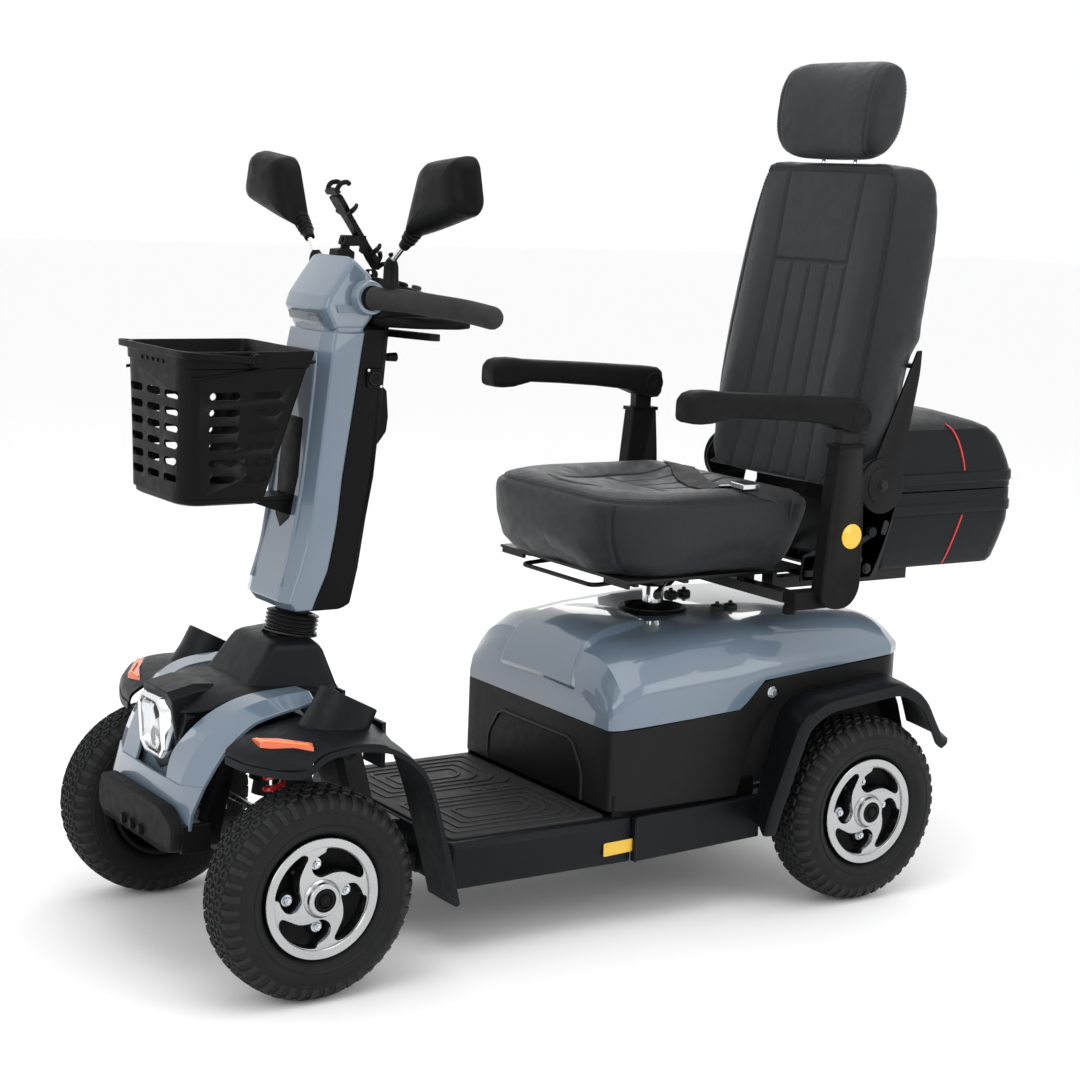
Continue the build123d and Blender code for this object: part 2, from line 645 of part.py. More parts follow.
def rear_view_mirror():
    """The left mirror: boot, bright rod, sleeve and housing."""
    face = [(190, 1150), (216, 1240), (234, 1256), (338, 1266), (352, 1254), (368, 1198), (356, 1182),
            (238, 1150), (204, 1140)]
    back = [(x * 0.6 + 110, z * 0.6 + 482) for x, z in face]
    housing = loft([Plane.XZ.offset(470) * outline(face), Plane.XZ.offset(484) * outline(face),
                    Plane.XZ.offset(512) * outline(back)], ruled=True)
    boot = rod((126, -486, 1063), (126, -486, 1106), 11)
    stalk = rod((126, -486, 1100), (182, -480, 1146), 5)
    sleeve = rod((158, -482, 1126), (196, -480, 1158), 11)
    return boot + stalk + sleeve + housing


def phone_mount():
    """The phone holder: a fork on its pivot, the back plate and two fixed lower hooks."""
    whole = beam((0, -440, 1084), (0, -522, 1200), 48, 9)
    for cheek in both(across(*PHONE_PIVOT, 4.5, 11, 8) + block(4.5, 11, -500, -470, 1121, 1135)):
        whole += cheek
    whole += across(*PHONE_PIVOT, -11, 11, 3)
    for x in (-19, 19):
        whole += beam((x, -440, 1088), (x, -412, 1108), 8, 8)
    return join(whole)


# seat
def seat_post():
    """The bright post that stands in the frame socket."""
    return join(rod((0, POST_Y, 240), (0, POST_Y, 555.8), POST_R))


def seat_rails():
    """The swivel head with its two slide rails."""
    whole = rod((0, POST_Y, 530), (0, POST_Y, 556), 32) + block(-40, 40, 102, 178, 548, 558)
    whole += block(-106, 106, 60, 196, 556.5, 561.5)
    whole -= rod((0, POST_Y, 520), (0, POST_Y, 556), POST_R + FIT)
    for rail in both(block(74, 106, 5, 300, 561, 569)):
        whole += rail
    return join(whole)


def seat_pan():
    """The upper seat frame: pan, arm tube, side plates and the carrier of the rear box."""
    tube = beam((-262, ARM_TUBE[0], ARM_TUBE[1]), (262, ARM_TUBE[0], ARM_TUBE[1]), 30, 18)
    tube -= beam((-270, ARM_TUBE[0], ARM_TUBE[1]), (270, ARM_TUBE[0], ARM_TUBE[1]), 24, 12)
    plate = side_slab([(296, 560), (470, 560), (500, 655), (510, 700), (492, 756), (464, 774),
                       (432, 764), (414, 724), (426, 690), (400, 640), (300, 605)], 214, 219.5)
    parts = both(block(82, 98, -30, 300, 569.3, 576)) + both(block(120, 150, 290, 606, 536, 556))
    parts += both(block(130, 150, ARM_TUBE[0] - 12, ARM_TUBE[0] + 12, 554, 577)) + both(plate)
    parts += [block(-226, 226, 302, 332, 570, 581), block(-150, 150, 520, 606, 536, 541)]
    parts += both(block(120, 150, 290, 300, 550, 578))
    whole = block(-200, 200, -60, 302, 576, 581) + tube
    for part in parts:
        whole += part
    return join(whole)


def seat_cushion():
    """The seat cushion, with its front corners cut back."""
    def level(half, nose, front, rear):
        return [(-nose, front), (nose, front), (half, front + 78), (half, rear), (-half, rear),
                (-half, front + 78)]
    return join(loft_levels([
        (584, level(206, 140, -72, 262)), (640, level(238, 180, -104, 286)),
        (696, level(240, 182, -108, 310)), (718, level(238, 176, -104, 312)),
        (730, level(214, 150, -74, 290)),
    ]))


def back_plane_y(z):
    """The front surface of the backrest at height z."""
    return 384 + (z - 723) * 0.188


def back_frame():
    """The steel frame of the backrest: hinge discs, uprights and a cross bar."""
    y, z = BACK_PIVOT
    parts = both(across(y, z, 220, 225, 48)) + both(beam((222.5, y, z), (222.5, 538, 960), 5, 40))
    whole = beam((-225, 530, 935), (225, 530, 935), 26, 8)
    for part in parts:
        whole += part
    return join(whole)


def back_cushion():
    """The padded backrest, with slots for its steel uprights."""
    levels = []
    for z, half, depth in ((716, 172, 60), (770, 206, 84), (830, 232, 96), (930, 236, 100),
                           (1100, 236, 96), (1230, 226, 78), (1286, 186, 44)):
        y = back_plane_y(z)
        levels.append((z, [(-half + 40, y), (half - 40, y), (half, y + 26), (half, y + depth * 0.7),
                           (half - 24, y + depth), (-half + 24, y + depth), (-half, y + depth * 0.7),
                           (-half, y + 26)]))
    pad = loft_levels(levels)
    y, z = BACK_PIVOT
    for slot in both(beam((222.5, y, z), (222.5, 541, 970), 8, 48)):
        pad -= slot
    pad -= beam((-240, 530, 935), (240, 530, 935), 32, 14)
    return join(pad)


def headrest():
    """The headrest pad."""
    return join(loft_levels([
        (1300, [(-116, 484), (116, 484), (126, 512), (112, 540), (-112, 540), (-126, 512)]),
        (1340, [(-138, 466), (138, 466), (144, 514), (130, 560), (-130, 560), (-144, 514)]),
        (1430, [(-134, 480), (134, 480), (140, 522), (126, 572), (-126, 572), (-140, 522)]),
        (1468, [(-104, 506), (104, 506), (114, 530), (102, 560), (-102, 560), (-114, 530)]),
    ]))


def armrest_post(side):
    """The curved arm with its upright sleeve and inner post."""
    y, z = ARM_TUBE
    stub = block(*sorted((side * 196, side * 276)), y - 11.9, y + 11.9, z - 5.9, z + 5.9)
    foot = block(*sorted((side * 266, side * 300)), y - 18, 330, 528, 562)
    upright = side_slab([(262, 540), (300, 528), (330, 534), (348, 560), (346, 700), (336, 812),
                         (284, 812), (272, 700)], *sorted((side * 284, side * 316)))
    inner = block(*sorted((side * 291, side * 309)), 292, 328, 800, 832)
    lug = block(*sorted((side * 291, side * 309)), 312, 332, 826, 846)
    eye = across(*ARM_PIVOT, *sorted((side * 291, side * 309)), 10)
    pin = across(*ARM_PIVOT, *sorted((side * 281, side * 319)), 5)
    return join(stub + foot + upright + inner + lug + eye + pin)


def armrest_pad(side):
    """The moulded arm pad, slotted below for its post."""
    pad = side_slab([(-38, 866), (-36, 898), (-24, 910), (66, 904), (342, 890), (343, 842), (332, 830),
                     (300, 832), (270, 846), (36, 866), (-14, 856), (-32, 858)],
                    *sorted((side * 274, side * 326)))
    pad -= block(*sorted((side * 288, side * 312)), 284, 345, 820, 862)
    pad -= block(*sorted((side * 280, side * 320)), 264, 345, 826, 836)
    pad -= across(*ARM_PIVOT, *sorted((side * 280, side * 320)), 5 + FIT)
    return join(pad)


# rear box
def box_section(inset):
    """The (x, y) outline of the rear box."""
    return [(-BOX_HALF + inset, 508 + inset), (BOX_HALF - inset, 508 + inset),
            (BOX_HALF - inset, 822), (BOX_HALF - 28, BOX_REAR - inset),
            (-BOX_HALF + 28, BOX_REAR - inset), (-BOX_HALF + inset, 822)]


def scaled(points, factor, y_pin):
    """An outline drawn in towards the middle of the box."""
    return [(x * factor, y_pin + (y - y_pin) * factor) for x, y in points]


def box_base():
    """The lower half of the rear box, open on top."""
    outer = loft_levels([(557, scaled(box_section(4), 0.88, 660)), (640, box_section(4)),
                         (700, box_section(4))])
    inner = loft_levels([(561, scaled(box_section(8), 0.88, 660)), (640, box_section(8)),
                         (701, box_section(8))])
    belt = flat_slab(box_section(0), 676, 700) - flat_slab(box_section(8), 670, 701)
    whole = outer - inner + belt
    for slot in both(across(*BOX_HINGE, 75.2, 90.4, 4.4)):
        whole -= slot
    for hinge in both(across(*BOX_HINGE, 60, 75, 4) + across(*BOX_HINGE, 60, 90, 2)
                      + block(60, 75, BOX_REAR - 0.5, LENGTH / 2 - 3, 686, 701)):
        whole += hinge
    return join(whole)


def box_lid():
    """The upper half of the rear box, open below."""
    def level(inset, lean, rear):
        corner = min(822, rear - 24)
        return [(-BOX_HALF + inset, 508 + lean), (BOX_HALF - inset, 508 + lean), (BOX_HALF - inset, corner),
                (BOX_HALF - 28 - inset, rear), (-BOX_HALF + 28 + inset, rear), (-BOX_HALF + inset, corner)]
    steps = [(702, 0, 0, 0), (738, 2, 12, 3), (794, 8, 34, 28), (819, 18, 46, 64), (842, 56, 84, 120)]
    outer = loft_levels([(z, level(inset, lean, BOX_REAR - back)) for z, inset, lean, back in steps])
    inner = loft_levels([(z - 4 + 3 * (z == 702), level(inset + 4, lean + 4, BOX_REAR - back - 4))
                         for z, inset, lean, back in steps])
    whole = outer - inner
    for slot in both(across(*BOX_HINGE, 59.6, 75.4, 4.4)):
        whole -= slot
    for leaf in both(across(*BOX_HINGE, 75.6, 90, 4)
                     + block(75.6, 90, BOX_REAR - 0.5, LENGTH / 2 - 3, 701, 714)):
        whole += leaf
    for bore in both(across(*BOX_HINGE, 70, 95, 2 + FIT)):
        whole -= bore
    return join(whole)


def recline_lever():
    """The backrest release lever beside the left hinge."""
    return join(side_slab([(440, 640), (452, 640), (400, 616), (396, 624)], 221, 229)
                + across(446, 642, 220, 232, 9))


def slide_lever():
    """The seat slide bar under the front of the cushion."""
    whole = pipe([(112, 60, 568), (112, -70, 560), (-112, -70, 560), (-112, 60, 568)], 4, 16)
    for pin in both(across(60, 568, 107, 118, 4)):
        whole += pin
    return join(whole)


NODES = {
    "chassis_frame": chassis_frame,
    "batteries": batteries,
    "floor_pan": floor_pan,
    "floor_mat": floor_mat,
    "hood_panel": hood_panel,
    "nose_panel": nose_panel,
    "front_fenders": lambda: join(both(front_fender())),
    "front_bumper": front_bumper,
    "headlamp_bezel": headlamp_bezel,
    "headlamp_lens": headlamp_lens,
    "signal_lamps": signal_lamps,
    "rear_shroud": rear_shroud,
    "rear_cover": rear_cover,
    "rear_fenders": lambda: join(both(rear_fender())),
    "front_axle_frame": front_axle_frame,
    "springs_front": springs_front,
    "knuckle_left": lambda: knuckle(1),
    "knuckle_right": lambda: knuckle(-1),
    "tie_rod": tie_rod,
    "rear_axle_unit": rear_axle_unit,
    "steering_stem": steering_stem,
    "steering_gaiter": steering_gaiter,
    "tiller_front_cover": tiller_front_cover,
    "tiller_rear_cover": tiller_rear_cover,
    "console": console,
    "handlebar": handlebar,
    "throttle_lever": throttle_lever,
    "speed_dial": lambda: join(tilted_disc(0, -400, 1051.3, 15, 12)),
    "ignition_key": lambda: join(rod((-60, -420, 1030.5), (-60, -420, 1062), 4)
                                 + block(-61.5, -58.5, -432, -408, 1062, 1080)),
    "horn_button": lambda: join(tilted_disc(56, -400, 1054, 8, 6)),
    "basket_bracket": basket_bracket,
    "basket": basket,
    "basket_handle": basket_handle,
    "mirror_left": lambda: join(rear_view_mirror()),
    "mirror_right": lambda: join(flip(rear_view_mirror())),
    "phone_mount": phone_mount,
    "phone_jaw": lambda: join(beam((0, -522.6, 1201), (0, -529, 1210), 44, 9)
                              + beam((0, -529, 1206), (0, -500, 1224), 30, 8)),
    "seat_post": seat_post,
    "seat_rails": seat_rails,
    "seat_pan": seat_pan,
    "seat_cushion": seat_cushion,
    "back_frame": back_frame,
    "back_cushion": back_cushion,
    "headrest": headrest,
    "armrest_post_left": lambda: armrest_post(1),
    "armrest_post_right": lambda: armrest_post(-1),
    "armrest_pad_left": lambda: armrest_pad(1),
    "armrest_pad_right": lambda: armrest_pad(-1),
    "box_base": box_base,
    "box_lid": box_lid,
    "recline_lever": recline_lever,
    "slide_lever": slide_lever,
}
for code, (x, y, side) in WHEELS.items():
    NODES["tyre_" + code] = lambda x=x, y=y: join(tyre(x, y, TYRE_R))
    NODES["rim_" + code] = lambda x=x, y=y, side=side: join(rim(x, y, TYRE_R, side))

os.makedirs("parts", exist_ok=True)
for name, build in NODES.items():
    export_step(build(), f"parts/{name}.step")
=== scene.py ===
import bmesh
import bpy
import json
import math
import random
import numpy as np
from mathutils import Matrix, Vector
from mathutils.bvhtree import BVHTree

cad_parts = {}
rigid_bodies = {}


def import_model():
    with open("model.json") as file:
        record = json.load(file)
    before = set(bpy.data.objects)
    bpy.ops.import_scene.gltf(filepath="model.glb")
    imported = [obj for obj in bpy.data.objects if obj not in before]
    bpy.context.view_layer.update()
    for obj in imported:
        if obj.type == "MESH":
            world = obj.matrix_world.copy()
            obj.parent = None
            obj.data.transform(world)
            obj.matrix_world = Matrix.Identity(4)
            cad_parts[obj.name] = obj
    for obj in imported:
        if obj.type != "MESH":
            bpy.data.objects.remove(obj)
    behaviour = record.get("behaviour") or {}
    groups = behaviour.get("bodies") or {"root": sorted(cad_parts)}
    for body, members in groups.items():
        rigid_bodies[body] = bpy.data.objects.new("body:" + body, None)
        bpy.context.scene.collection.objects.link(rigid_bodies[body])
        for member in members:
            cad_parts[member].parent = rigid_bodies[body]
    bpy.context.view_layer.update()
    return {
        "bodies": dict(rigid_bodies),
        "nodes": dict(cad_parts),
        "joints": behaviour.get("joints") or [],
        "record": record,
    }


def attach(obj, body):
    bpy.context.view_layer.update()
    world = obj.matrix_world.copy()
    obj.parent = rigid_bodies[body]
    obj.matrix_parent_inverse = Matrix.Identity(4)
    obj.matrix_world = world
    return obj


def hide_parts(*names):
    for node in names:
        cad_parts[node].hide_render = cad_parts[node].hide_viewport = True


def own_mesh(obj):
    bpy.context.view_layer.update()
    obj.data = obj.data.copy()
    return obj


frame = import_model()
NODES = frame["nodes"]
MM = 0.001
random.seed(7)

# ---------------------------------------------------------------- shape tools, in millimetres


def turned(axis, angle):
    return Matrix.Rotation(math.radians(angle), 3, axis)


def fillet(corners, radius, steps=4):
    """An outline with each corner rounded by steps + 1 points. Radius is one value or one per corner."""
    made = []
    count = len(corners)
    for i in range(count):
        r = radius[i] if isinstance(radius, (list, tuple)) else radius
        p = Vector(corners[i])
        before = Vector(corners[i - 1]) - p
        after = Vector(corners[(i + 1) % count]) - p
        reach = min(r, 0.48 * before.length, 0.48 * after.length)
        start = p + before.normalized() * reach
        end = p + after.normalized() * reach
        for k in range(steps + 1):
            t = k / steps
            made.append(tuple((1 - t) ** 2 * start + 2 * t * (1 - t) * p + t * t * end))
    return made


def spline(points, per=6, closed=False):
    """A Catmull-Rom curve through the points."""
    pts = [Vector(p) for p in points]
    count = len(pts)
    made = []
    spans = count if closed else count - 1
    for i in range(spans):
        if closed:
            a, b, c, d = (pts[(i + k) % count] for k in (-1, 0, 1, 2))
        else:
            a, b, c, d = (pts[min(max(i + k, 0), count - 1)] for k in (-1, 0, 1, 2))
        for k in range(per):
            t = k / per
            made.append(0.5 * (2 * b + (c - a) * t + (2 * a - 5 * b + 4 * c - d) * t * t
                               + (3 * b - a - 3 * c + d) * t ** 3))
    if not closed:
        made.append(pts[-1])
    return made


def ring_spline(rings, per=4):
    """More rings between the given ones, on smooth curves through matching points."""
    columns = [spline(column, per) for column in zip(*rings)]
    return [list(row) for row in zip(*columns)]


class Shape:
    """A mesh built up from closed forms, in millimetres."""

    def __init__(self):
        self.points = []
        self.faces = []
        self.slots = []

    def add(self, points, faces, slot=0):
        base = len(self.points)
        self.points += [Vector(p) for p in points]
        self.faces += [tuple(base + i for i in face) for face in faces]
        self.slots += [slot] * len(faces)
        return self

    def loft(self, rings, slot=0, caps=True, loop=False):
        size = len(rings[0])
        points = [p for ring in rings for p in ring]
        faces = []
        rows = len(rings)
        for r in range(rows if loop else rows - 1):
            s = (r + 1) % rows
            for i in range(size):
                j = (i + 1) % size
                faces.append((r * size + i, r * size + j, s * size + j, s * size + i))
        if caps and not loop:
            faces.append(tuple(range(size))[::-1])
            faces.append(tuple((rows - 1) * size + i for i in range(size)))
        return self.add(points, faces, slot)

    def slab(self, outline, low, high, axis, slot=0):
        """An outline in the other two axes, between two levels of one axis."""
        def place(level):
            if axis == "x":
                return [(level, a, b) for a, b in outline]
            if axis == "y":
                return [(a, level, b) for a, b in outline]
            return [(a, b, level) for a, b in outline]
        return self.loft([place(low), place(high)], slot)

    def box(self, x0, x1, y0, y1, z0, z1, slot=0):
        return self.slab([(x0, y0), (x1, y0), (x1, y1), (x0, y1)], z0, z1, "z", slot)

    def tube(self, route, radius, sides=16, slot=0, loop=False):
        """A round bar along a route; radius is one value or one for each point."""
        pts = [Vector(p) for p in route]
        count = len(pts)
        rings = []
        side = None
        for i, p in enumerate(pts):
            if loop:
                run = pts[(i + 1) % count] - pts[i - 1]
            else:
                run = pts[min(i + 1, count - 1)] - pts[max(i - 1, 0)]
            run.normalize()
            if side is None:
                side = run.orthogonal().normalized()
            side = (side - run * side.dot(run)).normalized()
            over = run.cross(side)
            r = radius[i] if isinstance(radius, (list, tuple)) else radius
            rings.append([p + r * (math.cos(a) * side + math.sin(a) * over)
                          for a in (2 * math.pi * k / sides for k in range(sides))])
        return self.loft(rings, slot, loop=loop)

    def spun(self, centre, direction, profile, sides=48, slot=0, loop=True):
        """A turned form: profile holds (distance along the axis, radius)."""
        run = Vector(direction).normalized()
        side = run.orthogonal().normalized()
        over = run.cross(side)
        rings = []
        for k in range(sides):
            a = 2 * math.pi * k / sides
            out = math.cos(a) * side + math.sin(a) * over
            rings.append([Vector(centre) + run * d + out * r for d, r in profile])
        return self.loft(rings, slot, loop=loop)

    def bolt(self, centre, direction, radius, height, slot=0):
        """A hexagon head on a washer."""
        run = Vector(direction).normalized()
        side = run.orthogonal().normalized()
        over = run.cross(side)
        base = Vector(centre)

        def ring(r, d, sides, start=0.0):
            return [base + run * d + r * (math.cos(a + start) * side + math.sin(a + start) * over)
                    for a in (2 * math.pi * k / sides for k in range(sides))]
        self.loft([ring(radius * 1.35, -0.4, 24), ring(radius * 1.35, height * 0.25, 24)], slot)
        self.loft([ring(radius, height * 0.2, 6), ring(radius, height * 0.9, 6),
                   ring(radius * 0.86, height, 6)], slot)
        return self

    def sheet(self, rows, thick, slot=0):
        """A closed skin of even thickness from a grid of points; thick is an offset vector or a length."""
        tall, wide = len(rows), len(rows[0])
        grid = [[Vector(p) for p in row] for row in rows]
        back = []
        for r in range(tall):
            for c in range(wide):
                if isinstance(thick, (tuple, list)):
                    shift = Vector(thick)
                else:
                    down = grid[min(r + 1, tall - 1)][c] - grid[max(r - 1, 0)][c]
                    along = grid[r][min(c + 1, wide - 1)] - grid[r][max(c - 1, 0)]
                    shift = down.cross(along).normalized() * thick
                back.append(grid[r][c] + shift)
        points = [p for row in grid for p in row] + back
        base = tall * wide
        faces = []
        for r in range(tall - 1):
            for c in range(wide - 1):
                a, b = r * wide + c, r * wide + c + 1
                d, e = a + wide, b + wide
                faces.append((a, b, e, d))
                faces.append((base + a, base + d, base + e, base + b))
        edge = [c for c in range(wide)] + [r * wide + wide - 1 for r in range(1, tall)]
        edge += [(tall - 1) * wide + c for c in range(wide - 2, -1, -1)] + [r * wide for r in range(tall - 2,
            0, -1)]
        for i, a in enumerate(edge):
            b = edge[(i + 1) % len(edge)]
            faces.append((a, base + a, base + b, b))
        return self.add(points, faces, slot)

    def plate(self, outlines, low, high, place, edge=0.0, slot=0):
        """A flat plate with holes and softened edges; place maps (u, v, w) to a point."""
        curve = bpy.data.curves.new("outline", "CURVE")
        curve.dimensions = "2D"
        curve.fill_mode = "BOTH"
        curve.extrude = (high - low) / 2 - edge
        curve.bevel_depth = edge
        curve.bevel_resolution = 2
        curve.offset = -edge
        for outline in outlines:
            line = curve.splines.new("POLY")
            line.points.add(len(outline) - 1)
            for point, (u, v) in zip(line.points, outline):
                point.co = (u, v, 0, 1)
            line.use_cyclic_u = True
        holder = bpy.data.objects.new("outline", curve)
        bpy.context.collection.objects.link(holder)
        bpy.context.view_layer.update()
        made = bpy.data.meshes.new_from_object(holder.evaluated_get(bpy.context.evaluated_depsgraph_get()))
        bm = bmesh.new()
        bm.from_mesh(made)
        bmesh.ops.remove_doubles(bm, verts=bm.verts, dist=1e-4)
        mid = (low + high) / 2
        points = [place(v.co.x, v.co.y, v.co.z + mid) for v in bm.verts]
        faces = [tuple(v.index for v in f.verts) for f in bm.faces]
        bm.free()
        bpy.data.objects.remove(holder)
        bpy.data.curves.remove(curve)
        bpy.data.meshes.remove(made)
        return self.add(points, faces, slot)

    def moved(self, change):
        self.points = [change(p) for p in self.points]
        return self

    def mirror(self):
        """Adds the same forms on the rider's right."""
        flipped = [(-p.x, p.y, p.z) for p in self.points]
        slots = list(self.slots)
        self.add(flipped, [face[::-1] for face in self.faces])
        self.slots = slots + slots
        return self

    def flipped(self):
        """The same forms on the other side only."""
        other = Shape()
        other.add([(-p.x, p.y, p.z) for p in self.points], [face[::-1] for face in self.faces])
        other.slots = list(self.slots)
        return other

    def piece(self, name, body, looks, slot, replaces=(), bevel=0.0, segments=3, angle=32, smooth=0):
        """The Blender object, riding on its body."""
        data = bpy.data.meshes.new(name)
        data.from_pydata([p * MM for p in self.points], [], self.faces)
        looks = looks if isinstance(looks, (list, tuple)) else [looks]
        for look in looks:
            data.materials.append(look)
        data.polygons.foreach_set("material_index", self.slots)
        bm = bmesh.new()
        bm.from_mesh(data)
        bmesh.ops.recalc_face_normals(bm, faces=bm.faces)
        bm.to_mesh(data)
        bm.free()
        obj = bpy.data.objects.new(name, data)
        bpy.context.collection.objects.link(obj)
        data.polygons.foreach_set("use_smooth", [True] * len(data.polygons))
        if bevel:
            add_bevel(obj, bevel, segments, angle)
        elif not smooth:
            data.set_sharp_from_angle(angle=math.radians(angle))
        if smooth:
            made = obj.modifiers.new("smooth", "SUBSURF")
            made.levels = made.render_levels = smooth
        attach(obj, body)
        if replaces:
            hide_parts(*replaces)
        return obj


def add_bevel(obj, width, segments=3, angle=32):
    made = obj.modifiers.new("soft edges", "BEVEL")
    made.width = width * MM
    made.segments = segments
    made.limit_method = "ANGLE"
    made.angle_limit = math.radians(angle)
    made.harden_normals = True
    made.use_clamp_overlap = True
    for face in obj.data.polygons:
        face.use_smooth = True


def applied(obj):
    """Applies the modifiers of a piece to its mesh."""
    bpy.context.view_layer.update()
    graph = bpy.context.evaluated_depsgraph_get()
    data = bpy.data.meshes.new_from_object(obj.evaluated_get(graph))
    old = obj.data
    obj.modifiers.clear()
    obj.data = data
    bpy.data.meshes.remove(old)
    return obj


def cut(obj, cutter_shape):
    """Takes a shape out of a piece."""
    data = bpy.data.meshes.new("cutter")
    data.from_pydata([p * MM for p in cutter_shape.points], [], cutter_shape.faces)
    bm = bmesh.new()
    bm.from_mesh(data)
    bmesh.ops.recalc_face_normals(bm, faces=bm.faces)
    bm.to_mesh(data)
    bm.free()
    cutter = bpy.data.objects.new("cutter", data)
    bpy.context.collection.objects.link(cutter)
    made = obj.modifiers.new("cut", "BOOLEAN")
    made.operation = "DIFFERENCE"
    made.solver = "EXACT"
    made.object = cutter
    applied(obj)
    bpy.data.objects.remove(cutter)
    bpy.data.meshes.remove(data)
    return obj


# ---------------------------------------------------------------- materials


def link(tree, start, out, end, into):
    tree.links.new(start.outputs[out], end.inputs[into])


def look(name, colour, rough, metal=0.0, coat=0.0, coat_rough=0.04, specular=0.5, sheen=0.0,
         mottle=0.08, grain=0.0, grain_scale=1200.0, pebble=0.0, pebble_scale=700.0, brush=None,
         painted_edge_highlight=None, flake=0.0, rough_spread=0.07):
    """A procedural surface: colour drift, uneven gloss, grain or leather pebble, and a painted highlight that
    lightens convex edges.
    """
    mat = bpy.data.materials.new(name)
    mat.use_nodes = True
    tree = mat.node_tree
    tree.nodes.clear()
    out = tree.nodes.new("ShaderNodeOutputMaterial")
    base = tree.nodes.new("ShaderNodeBsdfPrincipled")
    link(tree, base, "BSDF", out, "Surface")
    base.inputs["Metallic"].default_value = metal
    base.inputs["Coat Weight"].default_value = coat
    base.inputs["Coat Roughness"].default_value = coat_rough
    base.inputs["Specular IOR Level"].default_value = specular
    base.inputs["Sheen Weight"].default_value = sheen
    place = tree.nodes.new("ShaderNodeTexCoord")
    source, output = place, "Object"
    if brush:
        stretch = tree.nodes.new("ShaderNodeMapping")
        stretch.inputs["Scale"].default_value = brush
        link(tree, place, "Object", stretch, "Vector")
        source, output = stretch, "Vector"

    def texture(kind, scale, detail=4.0):
        made = tree.nodes.new(kind)
        made.inputs["Scale"].default_value = scale
        if kind == "ShaderNodeTexNoise":
            made.inputs["Detail"].default_value = detail
        link(tree, source, output, made, "Vector")
        return made

    drift = texture("ShaderNodeTexNoise", 14.0)
    ramp = tree.nodes.new("ShaderNodeValToRGB")
    ramp.color_ramp.elements[0].position = 0.3
    ramp.color_ramp.elements[1].position = 0.7
    ramp.color_ramp.elements[0].color = (*[c * (1 - mottle) for c in colour[:3]], 1)
    ramp.color_ramp.elements[1].color = (*[min(1, c * (1 + mottle)) for c in colour[:3]], 1)
    link(tree, drift, "Fac", ramp, "Fac")
    shade, shade_out = ramp, "Color"
    # painted highlight: convex edges (by pointiness) are mixed towards a lighter colour, standing in for light caught
    # on edges
    if painted_edge_highlight:
        geometry = tree.nodes.new("ShaderNodeNewGeometry")
        edge = tree.nodes.new("ShaderNodeMapRange")
        edge.inputs["From Min"].default_value = 0.54
        edge.inputs["From Max"].default_value = 0.66
        edge.inputs["To Max"].default_value = 0.55
        link(tree, geometry, "Pointiness", edge, "Value")
        mix = tree.nodes.new("ShaderNodeMix")
        mix.data_type = "RGBA"
        mix.inputs[7].default_value = (*painted_edge_highlight, 1)
        tree.links.new(edge.outputs["Result"], mix.inputs[0])
        tree.links.new(ramp.outputs["Color"], mix.inputs[6])
        tree.links.new(mix.outputs[2], base.inputs["Base Color"])
    else:
        link(tree, shade, shade_out, base, "Base Color")
    patches = texture("ShaderNodeTexNoise", 60.0)
    gloss = tree.nodes.new("ShaderNodeMapRange")
    gloss.inputs["From Min"].default_value = 0.3
    gloss.inputs["From Max"].default_value = 0.7
    gloss.inputs["To Min"].default_value = max(0.02, rough - rough_spread)
    gloss.inputs["To Max"].default_value = min(1.0, rough + rough_spread)
    link(tree, patches, "Fac", gloss, "Value")
    link(tree, gloss, "Result", base, "Roughness")
    bump = None
    if grain:
        fine = texture("ShaderNodeTexNoise", grain_scale, 2.0)
        bump = tree.nodes.new("ShaderNodeBump")
        bump.inputs["Strength"].default_value = grain
        bump.inputs["Distance"].default_value = 0.0004
        link(tree, fine, "Fac", bump, "Height")
    if pebble:
        cells = texture("ShaderNodeTexVoronoi", pebble_scale)
        cells.feature = "DISTANCE_TO_EDGE"
        edge = tree.nodes.new("ShaderNodeMapRange")
        edge.inputs["From Max"].default_value = 0.22
        link(tree, cells, "Distance", edge, "Value")
        second = tree.nodes.new("ShaderNodeBump")
        second.inputs["Strength"].default_value = pebble
        second.inputs["Distance"].default_value = 0.0005
        link(tree, edge, "Result", second, "Height")
        if bump:
            link(tree, bump, "Normal", second, "Normal")
        bump = second
    if flake:
        sparkle = texture("ShaderNodeTexVoronoi", 2500.0)
        third = tree.nodes.new("ShaderNodeBump")
        third.inputs["Strength"].default_value = flake
        third.inputs["Distance"].default_value = 0.0001
        link(tree, sparkle, "Distance", third, "Height")
        bump = third
    if bump:
        link(tree, bump, "Normal", base, "Normal")
    return mat


def clear(name, colour, rough=0.03, ior=1.49, ripple=0.05):
    """A see-through moulding with a faint ripple."""
    mat = look(name, colour, rough, mottle=0.02, grain=ripple, grain_scale=90.0, rough_spread=0.01)
    base = next(n for n in mat.node_tree.nodes if n.type == "BSDF_PRINCIPLED")
    base.inputs["Transmission Weight"].default_value = 1.0
    base.inputs["IOR"].default_value = ior
    return mat


